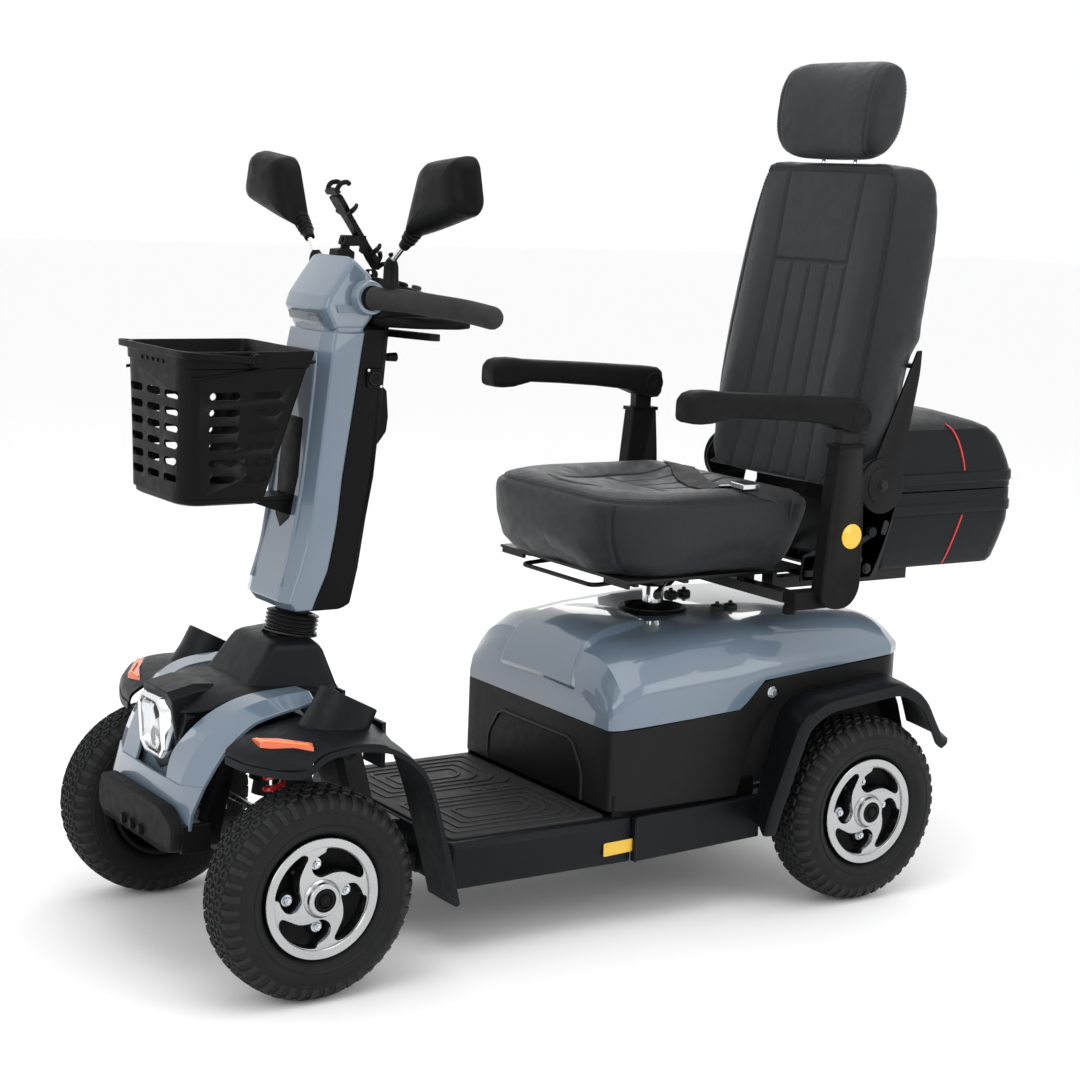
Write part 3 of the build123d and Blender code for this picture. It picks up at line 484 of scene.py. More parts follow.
def striped(name, dark, light, scale, rough, axis="X", coat=0.0, bump=0.3):
    """Parallel ribs in colour and relief."""
    mat = look(name, dark, rough, coat=coat)
    tree = mat.node_tree
    base = next(n for n in tree.nodes if n.type == "BSDF_PRINCIPLED")
    place = next(n for n in tree.nodes if n.type == "TEX_COORD")
    wave = tree.nodes.new("ShaderNodeTexWave")
    wave.bands_direction = axis
    wave.inputs["Scale"].default_value = scale
    wave.inputs["Distortion"].default_value = 0.0
    link(tree, place, "Object", wave, "Vector")
    ramp = tree.nodes.new("ShaderNodeValToRGB")
    ramp.color_ramp.elements[0].color = (*dark, 1)
    ramp.color_ramp.elements[1].color = (*light, 1)
    link(tree, wave, "Fac", ramp, "Fac")
    link(tree, ramp, "Color", base, "Base Color")
    relief = tree.nodes.new("ShaderNodeBump")
    relief.inputs["Strength"].default_value = bump
    relief.inputs["Distance"].default_value = 0.0006
    link(tree, wave, "Fac", relief, "Height")
    link(tree, relief, "Normal", base, "Normal")
    return mat


PAINT = look("paint_blue", (0.118, 0.162, 0.212), 0.3, coat=1.0, coat_rough=0.02, specular=0.45, mottle=0.0,
             grain=0.0,
             rough_spread=0.0)
# the lighter edge colours given below are painted highlights on convex edges
CHARCOAL = look("moulded_charcoal", (0.0042, 0.0052, 0.0068), 0.4, specular=0.15, mottle=0.1, grain=0.35,
                painted_edge_highlight=(0.05, 0.052, 0.058))
BLACK = look("moulded_black", (0.002, 0.002, 0.0023), 0.42, specular=0.1, mottle=0.12, grain=0.3,
             painted_edge_highlight=(0.03, 0.03, 0.032))
TEXTURED = look("textured_black", (0.0045, 0.0046, 0.005), 0.6, specular=0.12, mottle=0.15, grain=0.9,
                grain_scale=700.0,
                painted_edge_highlight=(0.035, 0.035, 0.037))
STEELBLACK = look("powder_coat", (0.0022, 0.0023, 0.0026), 0.34, specular=0.16, mottle=0.15,
                  grain=0.25, grain_scale=500.0, painted_edge_highlight=(0.06, 0.06, 0.062))
RUBBER = look("rubber", (0.012, 0.012, 0.013), 0.62, mottle=0.12, grain=0.4, grain_scale=900.0,
              painted_edge_highlight=(0.03, 0.03, 0.03))
TYRE = look("tyre_rubber", (0.0045, 0.0047, 0.0052), 0.6, specular=0.22, mottle=0.2, grain=0.5,
            grain_scale=500.0,
            painted_edge_highlight=(0.026, 0.026, 0.027))
GREEN = look("green_mark", (0.01, 0.12, 0.025), 0.7, mottle=0.4)
ALLOY = look("machined_alloy", (0.44, 0.445, 0.45), 0.26, metal=1.0, mottle=0.05, grain=0.25,
             grain_scale=160.0, brush=(1, 1, 1), rough_spread=0.09)
CAST = look("cast_alloy", (0.42, 0.425, 0.43), 0.45, metal=1.0, mottle=0.1, grain=0.5, grain_scale=800.0)
ZINC = look("zinc_plate", (0.62, 0.66, 0.70), 0.3, metal=1.0, mottle=0.14, grain=0.3, grain_scale=300.0,
            rough_spread=0.12)
CHROME = look("chrome", (0.82, 0.83, 0.84), 0.08, metal=1.0, mottle=0.02, rough_spread=0.03, grain=0.02,
              grain_scale=60.0)
SPRING = look("spring_red", (0.52, 0.006, 0.012), 0.3, coat=0.8, coat_rough=0.08, mottle=0.1, grain=0.1)
GLASSBLACK = look("display_glass", (0.004, 0.004, 0.005), 0.08, coat=1.0, mottle=0.05, rough_spread=0.02)
YELLOWROUND = look("yellow_round", (0.8, 0.47, 0.0), 0.25, coat=0.9, pebble=0.5, pebble_scale=420.0)
VISOR = look("visor_grey", (0.085, 0.105, 0.125), 0.32, coat=0.4)
RED = look("trim_red", (0.62, 0.012, 0.016), 0.35, coat=0.4, mottle=0.06, grain=0.15)
LEATHER = look("leatherette", (0.0088, 0.0104, 0.0132), 0.42, specular=0.27, mottle=0.1, pebble=0.42,
               pebble_scale=620.0,
               grain=0.25, grain_scale=160.0, sheen=0.06, painted_edge_highlight=(0.04, 0.042, 0.047))
THREAD = look("thread", (0.012, 0.013, 0.016), 0.75, mottle=0.15, grain=0.6, grain_scale=2500.0)
FOAM = look("foam_grip", (0.014, 0.014, 0.015), 0.78, mottle=0.14, pebble=0.5, pebble_scale=1500.0, grain=0.5,
            grain_scale=900.0)
WEBBING = striped("belt_webbing", (0.006, 0.006, 0.007), (0.02, 0.02, 0.022), 260.0, 0.7, axis="X")
AMBER = look("amber_lens", (0.72, 0.105, 0.02), 0.14, coat=1.0, mottle=0.06, grain=0.25, grain_scale=260.0)
# painted highlight: a brighter amber for the line of light on the indicator lenses
AMBER_PAINTED_HIGHLIGHT = look("amber_painted_highlight", (1.0, 0.33, 0.06), 0.3, coat=0.5, mottle=0.03)
YELLOW = striped("yellow_reflector", (0.62, 0.36, 0.0), (0.85, 0.52, 0.004), 160.0, 0.28, axis="Y", coat=0.9)
REDLENS = look("red_lens", (0.4, 0.008, 0.012), 0.14, coat=1.0, mottle=0.06, grain=0.25, grain_scale=260.0)
LENS = clear("clear_lens", (0.96, 0.97, 0.98))
SILVERED = look("reflector", (0.78, 0.79, 0.8), 0.22, metal=0.9, mottle=0.06, grain=0.4, grain_scale=110.0)
MIRRORGLASS = look("mirror_glass", (0.9, 0.91, 0.92), 0.03, metal=1.0, mottle=0.01, rough_spread=0.01)
GAITER = look("gaiter_rubber", (0.007, 0.007, 0.0075), 0.36, mottle=0.1, grain=0.2, painted_edge_highlight=(0.02, 0.02, 0.02))
WHITE = look("print_white", (0.6, 0.6, 0.6), 0.5, mottle=0.03)

# ---------------------------------------------------------------- camera, floor and light


def stage_and_light():
    scene = bpy.context.scene
    azimuth, elevation, roll = (math.radians(v) for v in (56.6, 9.29, 2.3))
    back = Vector((math.sin(azimuth) * math.cos(elevation), -math.cos(azimuth) * math.cos(elevation),
                   math.sin(elevation)))
    right = Vector((math.cos(azimuth), math.sin(azimuth), 0))
    up = back.cross(right)
    right, up = (math.cos(roll) * right + math.sin(roll) * up, -math.sin(roll) * right + math.cos(roll) * up)
    lens = bpy.data.cameras.new("camera")
    lens.sensor_width = 36
    lens.lens = 73.66
    camera = bpy.data.objects.new("camera", lens)
    camera.matrix_world = Matrix.Translation((3.13699, -2.17524, 1.23727)) @ Matrix(
        (right, up, back)).transposed().to_4x4()
    bpy.context.collection.objects.link(camera)
    scene.camera = camera

    ground = bpy.data.meshes.new("floor")
    size = 30.0
    ground.from_pydata([(-size, -size, 0), (size, -size, 0), (size, size, 0), (-size, size, 0)], [],
                       [(0, 1, 2, 3)])
    floor = bpy.data.objects.new("floor", ground)
    white = look("floor_white", (0.97, 0.97, 0.97), 0.6, mottle=0.0, specular=0.1, rough_spread=0.02)
    ground.materials.append(white)
    bpy.context.collection.objects.link(floor)

    world = bpy.data.worlds.new("studio")
    world.use_nodes = True
    background = world.node_tree.nodes["Background"]
    background.inputs["Color"].default_value = (1.0, 1.0, 1.0, 1)
    background.inputs["Strength"].default_value = 1.0
    scene.world = world

    def soft_box(name, place, target, width, height, power):
        lamp = bpy.data.lights.new(name, "AREA")
        lamp.shape = "RECTANGLE"
        lamp.size = width
        lamp.size_y = height
        lamp.energy = power
        holder = bpy.data.objects.new(name, lamp)
        holder.location = place
        holder.rotation_euler = (Vector(target) - Vector(place)).to_track_quat("-Z", "Y").to_euler()
        bpy.context.collection.objects.link(holder)
    soft_box("top_light", (0.6, -0.4, 3.4), (0, 0, 0.4), 2.6, 2.6, 34)
    soft_box("side_light", (3.2, 1.6, 1.8), (0, 0, 0.6), 1.6, 2.4, 24)
    soft_box("front_light", (1.2, -3.6, 2.0), (0, -0.3, 0.5), 2.2, 1.8, 26)
    soft_box("back_light", (-2.6, 2.2, 2.2), (0, 0.2, 0.8), 1.6, 2.0, 14)
    scene.view_settings.view_transform = "Standard"
    scene.view_settings.look = "None"


stage_and_light()

# ---------------------------------------------------------------- wheels

TYRE_PROFILE = [(-29, 92.6), (-38, 98), (-44.5, 106), (-48.2, 118), (-48.8, 127), (-47, 138), (-43, 147.5),
                (-36, 154.5), (-26, 159), (-13, 161), (0, 161.5)]
BEAD_PROFILE = [(27, 101), (38, 118), (34, 140), (22, 151), (0, 156)]


def tread_radius(across):
    side = abs(across)
    table = [(0, 161.5), (13, 161), (26, 159), (36, 154.5), (43, 147.5), (47, 138), (48.8, 127)]
    for (a, ra), (b, rb) in zip(table, table[1:]):
        if side <= b:
            return ra + (rb - ra) * (side - a) / (b - a)
    return 127.0


def tyre_piece(code, x, y, body):
    shape = Shape()
    outer = spline([(a, r) for a, r in TYRE_PROFILE] + [(-a, r) for a, r in reversed(TYRE_PROFILE[:-1])], 3)
    inner = [(-a, r) for a, r in reversed(BEAD_PROFILE)][::-1]
    inner = [(a, r) for a, r in BEAD_PROFILE] + [(-a, r) for a, r in reversed(BEAD_PROFILE[:-1])]
    shape.spun((x, y, 165), (1, 0, 0), [tuple(p) for p in outer] + inner, sides=96)
    for rib, lift in ((113, 0.8), (133, 0.7)):
        for side in (-1, 1):
            a = side * (47.6 if rib == 113 else 47.9)
            shape.spun((x, y, 165), (1, 0, 0), [(a - 0.9 * side, rib - 1.1), (a + lift * side * 1.3, rib),
                                                (a - 0.9 * side, rib + 1.1)], sides=96)

    def block(centre, row, width, length, lift, lean):
        """A five-sided tread block with a sunken sipe."""
        corners = [(-0.5, -0.5), (0.5, -0.5), (0.5, 0.3), (0.0, 0.58), (-0.5, 0.3)]
        rings = []
        for scale, height in ((1.06, -2.2), (0.92, lift), (0.5, lift), (0.42, lift - 1.6)):
            ring = []
            for u, v in corners:
                across_tread = row + u * width * scale
                along = centre + (v * length * scale + lean * across_tread) / 163.0
                r = tread_radius(across_tread) + height
                ring.append((x + across_tread, y + r * math.sin(along), 165 + r * math.cos(along)))
            rings.append(ring)
        shape.loft(rings)

    def bar(centre, low, high, length, lift, sign, lean):
        """A shoulder lug from the tread down on to the sidewall."""
        rings = []
        for step in range(5):
            across_tread = low + (high - low) * step / 4
            height = lift * (1, 1, 0.95, 0.75, 0.1)[step]
            r0 = tread_radius(across_tread)
            slant = lean * (across_tread - low) / 163.0
            ring = []
            for half, up in ((-0.5, -2.0), (-0.4, height), (0.4, height), (0.5, -2.0)):
                along = centre + half * length / 163.0 + slant
                r = r0 + up * (0.55 if step > 2 else 1.0)
                out = across_tread + (up * 0.55 if step > 2 else 0)
                ring.append((x + sign * out, y + r * math.sin(along), 165 + r * math.cos(along)))
            rings.append(ring)
        shape.loft(rings)

    count = 46
    for i in range(count):
        turn = 2 * math.pi * i / count
        half = math.pi / count
        block(turn, -7.5, 12.5, 16, 3.4, 0.0)
        block(turn + half, 7.5, 12.5, 16, 3.4, 0.0)
        block(turn + half, -23, 12, 15, 3.6, 0.0)
        block(turn, 23, 12, 15, 3.6, 0.0)
        for sign in (-1, 1):
            shift = turn + (half if sign > 0 else 0)
            bar(shift, 32, 46.8, 13 if i % 2 else 10, 3.4, sign, 0.0)
    for mark in (-1, 1):
        for i in range(120):
            along = 2 * math.pi * i / 120
            if i % 3 == 2:
                continue
            ring = []
            for da, dw in ((-0.012, -0.5), (0.012, -0.5), (0.012, 0.5), (-0.012, 0.5)):
                w = mark * 15.2 + dw
                ring.append((w, along + da, tread_radius(w)))
            rings = [[(x + w, y + (r + up) * math.sin(a), 165 + (r + up) * math.cos(a)) for w, a, r in ring]
                     for up in (-0.5, 0.35)]
            shape.loft(rings, slot=1)
    shape.piece("tyre_" + code, body, [TYRE, GREEN], "tyre", ["tyre_" + code], angle=24)


def rim_piece(code, x, y, side, body):
    shape = Shape()
    centre = Vector((x, y, 165))

    def out(u, v, w):
        """Wheel face coordinates, with w outboard from the middle of the tyre."""
        return (x + side * w, y + u * side, 165 + v)

    barrel = [(-43.5, 93.6), (-43.5, 88), (-40, 85), (-10, 82), (20, 81), (33, 83), (38, 84), (38, 91.5),
              (-36, 91.5)]
    shape.spun(centre, (side, 0, 0), barrel, sides=96, slot=1)
    ring = [(38, 92), (43, 93.8), (44, 93), (43.8, 80.5), (42.4, 79.4), (37, 79), (30, 80), (30, 84),
            (34, 91.5)]
    shape.spun(centre, (side, 0, 0), ring, sides=96, slot=0)
    dish = [(13, 16), (13, 66), (19, 78), (26, 82.5), (22, 84), (16, 80), (9, 67), (9, 16)]
    shape.spun(centre, (side, 0, 0), dish, sides=72, slot=1)
    pocket_polar = [(83, 77.5), (66, 78.6), (48, 78.8), (32, 78.6), (23, 76), (20, 69), (29, 60), (44, 52),
                    (59, 43.5), (74, 36.5), (91, 33), (105, 38), (110, 48), (105, 59), (95, 66), (86, 71)]
    pockets = []
    for turn in range(4):
        points = []
        for angle, r in pocket_polar:
            a = math.radians(angle + 90 * turn)
            points.append((r * math.cos(a), r * math.sin(a)))
        pockets.append([tuple(p) for p in spline([(u, v, 0) for u, v in points], 3, closed=True)])
    pockets = [[(p[0], p[1]) for p in pocket] for pocket in pockets]
    edge = [(81 * math.cos(a), 81 * math.sin(a)) for a in (2 * math.pi * k / 96 for k in range(96))]
    shape.plate([edge] + pockets, 29, 40.5, out, edge=1.2, slot=0)
    web_edge = [(80.5 * math.cos(a), 80.5 * math.sin(a)) for a in (2 * math.pi * k / 72 for k in range(72))]
    shrunk = [[(u * 1.0, v * 1.0) for u, v in pocket] for pocket in pockets]
    shape.plate([web_edge] + shrunk, 16, 28.8, out, edge=0.0, slot=1)
    for turn in range(4):
        a = math.radians(92 + 90 * turn)
        spot = Vector(out(49 * math.cos(a), 49 * math.sin(a), 12.6))
        shape.spun(spot, (side, 0, 0), [(0, 0.1), (0, 12.5), (5, 12.5), (7, 10.5), (7, 0.1)], sides=24,
                   slot=1,
                   loop=True)
        shape.bolt(spot + Vector((side * 7, 0, 0)), (side, 0, 0), 6.6, 8, slot=2)
        shape.spun(spot + Vector((side * 14.5, 0, 0)), (side, 0, 0), [(0, 0.1), (0, 3.4), (3, 3.0), (4, 0.1)],
                   sides=16, slot=2)
    collar = [(30, 30), (41.5, 30), (43.5, 28.5), (45, 27), (50, 25.5), (51.5, 24), (51.5, 18.5), (48, 17),
              (30, 17)]
    shape.spun(centre, (side, 0, 0), collar, sides=64, slot=0)
    cap = [(40, 0.1), (40, 17), (49, 17), (51.5, 16), (51.8, 12.5), (50, 11.5), (50, 9.5), (52.5, 8),
           (53.4, 4),
           (53.4, 0.1)]
    shape.spun(centre, (side, 0, 0), cap, sides=48, slot=3)
    stem = out(62 * math.cos(math.radians(135)), 62 * math.sin(math.radians(135)), 20)
    shape.tube([stem, Vector(stem) + Vector((side * 10, 0, 0))], 3.2, 12, slot=3)
    for hub_end in (-1,):
        shape.spun(centre, (side * hub_end, 0, 0), [(-20, 12), (-20, 30), (33, 30), (34, 28), (34, 12)],
                   sides=48,
                   slot=1)
    shape.piece("rim_" + code, body, [ALLOY, BLACK, ZINC, BLACK], "alloy", ["rim_" + code], angle=28)


for code, (x, y, side) in {"fl": (288, -687, 1), "fr": (-288, -687, -1), "rl": (288, 387, 1),
                           "rr": (-288, 387, -1)}.items():
    tyre_piece(code, x, y, "wheel_" + code)
    rim_piece(code, x, y, side, "wheel_" + code)

# ---------------------------------------------------------------- front body


def front_body():
    # painted nose: a front facet and a side facet that meet on a crease, split round the headlamp
    def facets(z, y_mid, half, edge, edge_y, drop=0.0):
        return [(-edge, edge_y, z - drop), (-half, y_mid, z), (half, y_mid, z), (edge, edge_y, z - drop)]
    lower = [
        [(0, -829, 232), (116, -829, 232), (150, -825, 236)],
        [(0, -828, 262), (118, -828, 262), (152, -822, 262)],
        [(0, -826, 300), (108, -824, 300), (160, -806, 306)],
    ]
    shape = Shape()
    grid = []
    for row in lower:
        full = [(-px, py, pz) for px, py, pz in reversed(row[1:])] + row
        grid.append(full)
    shape.sheet(grid, (0, 7, 0))
    shape.piece("nose_shield", "chassis", PAINT, "paint_blue", ["nose_panel"], bevel=1.6)
    stations = [
        ((60, -822, 300), (112, -822, 301), (158, -805, 306)),
        ((57, -818, 318), (114, -815, 322), (164, -794, 330)),
        ((60, -811, 342), (119, -803, 350), (169, -778, 358)),
        ((72, -797, 368), (127, -784, 378), (176, -758, 384)),
        ((88, -776, 396), (138, -760, 403), (184, -737, 404)),
        ((102, -748, 418), (150, -736, 421), (190, -716, 414)),
        ((110, -716, 431), (157, -706, 432), (190, -690, 420)),
        ((112, -676, 436), (158, -670, 438), (189, -664, 424)),
        ((112, -628, 438), (156, -628, 440), (180, -630, 430)),
    ]
    shape = Shape()
    shape.sheet(ring_spline([list(row) for row in stations], 3), (0, 4.5, -4.5))
    shape.mirror()
    shape.piece("nose_stripes", "chassis", PAINT, "paint_blue", bevel=1.4, angle=14)

    # charcoal centre: headlamp housing with its pointed shield, saddle and neck
    shape = Shape()
    face = [(0, 298), (52, 320), (60, 345), (72, 392), (60, 410), (-60, 410), (-72, 392), (-60, 345),
            (-52, 320)]
    shape.loft([[(px, -807 + 0.12 * (pz - 298), pz) for px, pz in face],
                [(px, -788 + 0.12 * (pz - 298), pz + 2) for px, pz in face]])
    shape.piece("lamp_shield", "chassis", CHARCOAL, "charcoal", bevel=3, angle=20)
    panel = Shape().slab([(-805, 288), (-797, 350), (-790, 350), (-798, 288)], -76, 76, "x")
    panel.piece("lamp_panel", "chassis", PAINT, "paint_blue", bevel=0.8)
    lamp_box = [
        [(-50, -798, 330), (50, -798, 330), (56, -812, 420), (44, -816, 430), (-44, -816, 430),
         (-56, -812, 420)],
        [(-52, -770, 334), (52, -770, 334), (56, -770, 430), (44, -770, 440), (-44, -770, 440),
         (-56, -770, 430)],
        [(-50, -735, 360), (50, -735, 360), (50, -735, 432), (40, -735, 437), (-40, -735, 437),
         (-50, -735, 432)],
    ]
    shape = Shape().loft(lamp_box)
    housing = shape.piece("lamp_housing", "chassis", CHARCOAL, "charcoal", bevel=2.5, angle=20)
    tilt = turned("X", 4)

    def lamp(u, v, w):
        """Headlamp coordinates: u across, v up the leaning face, w out of it."""
        return Vector((0, -803, 371)) + tilt @ Vector((u, -w, v))

    def eight(half_w, half_h, c):
        return [(half_w, -half_h + c), (half_w, half_h - c), (half_w - c, half_h), (-half_w + c, half_h),
                (-half_w, half_h - c), (-half_w, -half_h + c), (-half_w + c, -half_h), (half_w - c, -half_h)]
    socket = Shape().loft([[lamp(u, v, w) for u, v in eight(47, 49, 16)] for w in (-30, 40)])
    cut(housing, socket)
    add_bevel(housing, 2.0, 2, 30)
    rings = []
    for half_w, half_h, c, w in ((46.5, 48.5, 16, -20), (47.5, 49.5, 16, 16), (46, 48, 16, 20),
                                 (42, 44, 14, 21.5),
                                 (40, 42, 14, 19), (39, 41, 14, 10), (41, 43, 14, -18)):
        rings.append([lamp(u, v, w) for u, v in fillet(eight(half_w, half_h, c), 4, 3)])
    Shape().loft(rings + [rings[0]], caps=False).piece(
        "headlamp_surround", "chassis", CHROME, "chrome", ["headlamp_bezel"], angle=40)
    lens = Shape().loft([[lamp(u, v, w) for u, v in fillet(eight(hw, hh, c), 4, 3)]
                         for hw, hh, c, w in ((38.6, 40.6, 14, 9), (38.8, 40.8, 14, 16.5), (36, 38, 13, 19.5),
                                              (20, 21, 8, 21))])
    lens.piece("headlamp_glass", "chassis", LENS, "lens", ["headlamp_lens"], angle=40)
    inside = Shape()
    for hw, hh, c, w0, w1 in ((38, 40, 13, 6.5, 1), (33, 35, 11, 1, -4), (27, 29, 9, -4, -9)):
        inside.loft([[lamp(u, v, w) for u, v in fillet(eight(a, b, c), 3, 2)]
                     for a, b, w in ((hw, hh, w0), (hw - 4, hh - 4, w1), (hw - 5, hh - 5, w1),
                                     (hw - 0.6, hh - 0.6, w0))]
                    + [[lamp(u, v, w0) for u, v in fillet(eight(hw, hh, c), 3, 2)]], caps=False)
    inside.loft([[lamp(u, v, w) for u, v in fillet(eight(38, 40, 13), 3, 2)] for w in (-12, -9)])
    inside.spun(lamp(6, -8, -10), tilt @ Vector((0, -1, 0)),
                [(0, 0.2), (0, 22), (3, 22), (1.5, 12), (1, 0.2)], 32)
    inside.piece("headlamp_reflector", "chassis", SILVERED, "chrome", angle=30)
    bulb = Shape().spun(lamp(6, -8, -9), tilt @ Vector((0, -1, 0)),
                        [(0, 0.2), (0, 7), (9, 7), (13, 4.5), (14.5, 0.2)], 24)
    bulb.piece("headlamp_bulb", "chassis", LENS, "lens")

    saddle_rows = [
        [(-62, -800, 404), (-40, -800, 410), (0, -798, 414), (40, -800, 410), (62, -800, 404)],
        [(-88, -770, 410), (-52, -772, 422), (0, -772, 428), (52, -772, 422), (88, -770, 410)],
        [(-104, -742, 422), (-58, -742, 432), (0, -742, 437), (58, -742, 432), (104, -742, 422)],
        [(-112, -706, 431), (-62, -706, 438), (0, -706, 441), (62, -706, 438), (112, -706, 431)],
        [(-113, -664, 433), (-72, -664, 438), (0, -664, 441), (72, -664, 438), (113, -664, 433)],
        [(-116, -600, 430), (-90, -600, 433), (0, -600, 434), (90, -600, 433), (116, -600, 430)],
        [(-118, -548, 420), (-90, -546, 422), (0, -546, 422), (90, -546, 422), (118, -548, 420)],
    ]
    shape = Shape().sheet(ring_spline(saddle_rows, 3), (0, 0, -5))
    flank = Shape().sheet([[(106, -650, 428), (150, -650, 426), (194, -650, 412)],
                           [(106, -600, 427), (150, -600, 421), (194, -600, 411)],
                           [(106, -549, 417), (150, -549, 410), (194, -549, 404)]], (0, 0, -4))
    flank.mirror()
    flank.piece("hood_flanks", "chassis", CHARCOAL, "charcoal", bevel=0.8)
    shape.slab([(-548, 424), (-548, 404), (-542, 404), (-542, 424)], -118, 118, "x")
    shape.piece("hood_saddle", "chassis", CHARCOAL, "charcoal", ["hood_panel"], bevel=1.2, angle=40)
    neck = [
        (426, [(-108, -545), (-86, -700), (86, -700), (108, -545)], 16),
        (432, [(-106, -548), (-84, -697), (84, -697), (106, -548)], 16),
        (486, [(-98, -569), (-74, -657), (74, -657), (98, -569)], 14),
        (494, [(-92, -573), (-69, -652), (69, -652), (92, -573)], 13),
        (499, [(-82, -577), (-61, -645), (61, -645), (82, -577)], 12),
        (500, [(-60, -560 - 15), (-45, -630), (45, -630), (60, -575)], 10),
    ]
    rings = [[(px, py, z) for px, py in fillet(points, radius, 5)] for z, points, radius in neck]
    neck_obj = Shape().loft(rings).piece("hood_neck", "chassis", CHARCOAL, "charcoal", angle=50)
    hole = Shape().tube([(0, -602, 380), (0, -578, 530)], 45.5, 40)
    cut(neck_obj, hole)
    neck_obj.data.set_sharp_from_angle(angle=math.radians(38))

    # mudguards with the slanted cup holders
    def guard_rows():
        return [
            [(186, -778, 352), (240, -768, 350), (296, -748, 352), (342, -716, 356)],
            [(184, -782, 364), (238, -772, 364), (298, -751, 367), (344, -720, 374)],
            [(186, -774, 377), (240, -764, 380), (300, -742, 384), (342, -714, 386)],
            [(188, -740, 394), (242, -728, 398), (302, -714, 399), (341, -698, 394)],
            [(190, -700, 405), (244, -696, 408), (304, -688, 406), (341, -676, 399)],
            [(190, -650, 411), (246, -650, 412), (306, -644, 408), (342, -640, 400)],
            [(190, -596, 411), (246, -596, 410), (306, -598, 402), (342, -600, 395)],
            [(190, -566, 408), (246, -568, 402), (306, -572, 390), (342, -574, 382)],
            [(200, -545, 398), (250, -547, 390), (306, -550, 374), (342, -552, 366)],
        ]
    rows = ring_spline(guard_rows(), 3)
    shape = Shape().sheet(rows, (0, 3.2, -4.5))
    tail = [
        [(262, -566, 392), (304, -566, 386), (342, -568, 376)],
        [(256, -542, 380), (300, -542, 374), (343, -544, 364)],
        [(250, -522, 352), (298, -522, 350), (343, -522, 344)],
        [(250, -502, 300), (298, -502, 300), (343, -501, 298)],
        [(250, -484, 240), (298, -484, 240), (342, -483, 240)],
        [(250, -466, 178), (298, -466, 178), (341, -465, 178)],
        [(252, -452, 122), (298, -452, 122), (338, -451, 122)],
    ]
    shape.sheet(ring_spline(tail, 3), (0, -6, -3))
    lip = [(343.5, -718, 372), (344, -690, 390), (344, -640, 396), (344, -590, 390), (344, -560, 376),
           (344, -538, 360), (344, -514, 330), (343.5, -494, 276), (343, -474, 206), (341, -452, 124)]
    rings = []
    for p in spline(lip, 4):
        inward = (Vector((p.x, -552, 190)) - p).normalized()
        rings.append([p, p + inward * 10, p + inward * 10 + Vector((-5, 0, 0)), p + Vector((-5, 0, 0))])
    shape.loft(rings)
    front = spline([(188, -783, 360), (238, -773, 358), (298, -752, 361), (326, -737, 364), (340, -724, 369),
                    (344.5, -708, 378)], 5)
    rings = []
    for i, p in enumerate(front):
        run = front[min(i + 1, len(front) - 1)] - front[max(i - 1, 0)]
        inward = Vector((-run.y, run.x, 0)).normalized() * 5
        drop = Vector((0, 0, -12))
        rings.append([p, p + drop, p + drop + inward, p + inward])
    shape.loft(rings)
    shape.slab([(-548, 402), (-541, 402), (-541, 330), (-548, 330)], 190, 250, "x")
    shape.mirror()
    guards = shape.piece("front_mudguards", "chassis", CHARCOAL, "charcoal", ["front_fenders"])
    add_bevel(guards, 1.3, 2, 28)

    cups = Shape()
    low, top = Vector((240, -650, 352)), Vector((240, -602, 446))
    axis = (top - low).normalized()
    span = (top - low).length
    profile = [(18, 42), (30, 47.5), (span * 0.6, 47.8), (span - 1.5, 47.5), (span, 46), (span, 43.5),
               (span - 1.5, 42.3), (span * 0.6, 41.5), (32, 40), (26, 36), (26, 1), (18, 1)]
    cups.spun(low, axis, profile, sides=64)
    cups.mirror()
    cups.piece("cup_holders", "chassis", CHARCOAL, "charcoal", angle=30)
    # sloping shoulders that carry the cups down into the mudguards
    outer = Shape()
    rings = []
    for t in range(9):
        s = t / 8
        centre = low + axis * (span - 2 - (span - 2) * s)
        ring = []
        for k in range(40):
            a = 2 * math.pi * k / 40
            v = Vector((1, 0, 0)) * math.cos(a) + axis.cross(Vector((1, 0, 0))) * math.sin(a)
            flare = 47.9 + (3 + 34 * max(0, s - 0.35)) * s * (1.15 if v.y > 0 else 0.9)
            p = centre + v * flare
            p.z = max(p.z, 398)
            ring.append(p)
        rings.append(ring)
    outer.loft(rings, caps=False)
    outer.loft([[p + (Vector((240, -620, p.z)) - p).normalized() * 3 for p in ring] for ring in rings],
               caps=False)
    outer.mirror()
    outer.piece("cup_shoulders", "chassis", CHARCOAL, "charcoal", angle=50)

    # indicators: an L-shaped amber lens with a painted highlight, a brighter amber line along its top edge
    amber = Shape()
    top_face = [(212, -751, 391.5), (252, -756, 394), (330, -707, 399.5), (312, -700, 402),
                (262, -731, 399.5)]
    amber.loft([[(px, py, pz - 9) for px, py, pz in top_face], top_face])
    amber.mirror()
    amber.piece("indicators_front", "chassis", AMBER, "amber", ["signal_lamps"], bevel=1.4, angle=20)
    # painted highlight: a brighter amber bar along the lens edge, standing in for light caught there
    painted_glint = Shape()
    line = [(224, -748.5, 392.9), (253, -750, 395.6), (316, -708.5, 400.6)]
    painted_glint.tube(line, 1.4, 10)
    painted_glint.mirror()
    painted_glint.piece("indicator_painted_highlights", "chassis", AMBER_PAINTED_HIGHLIGHT, "amber")

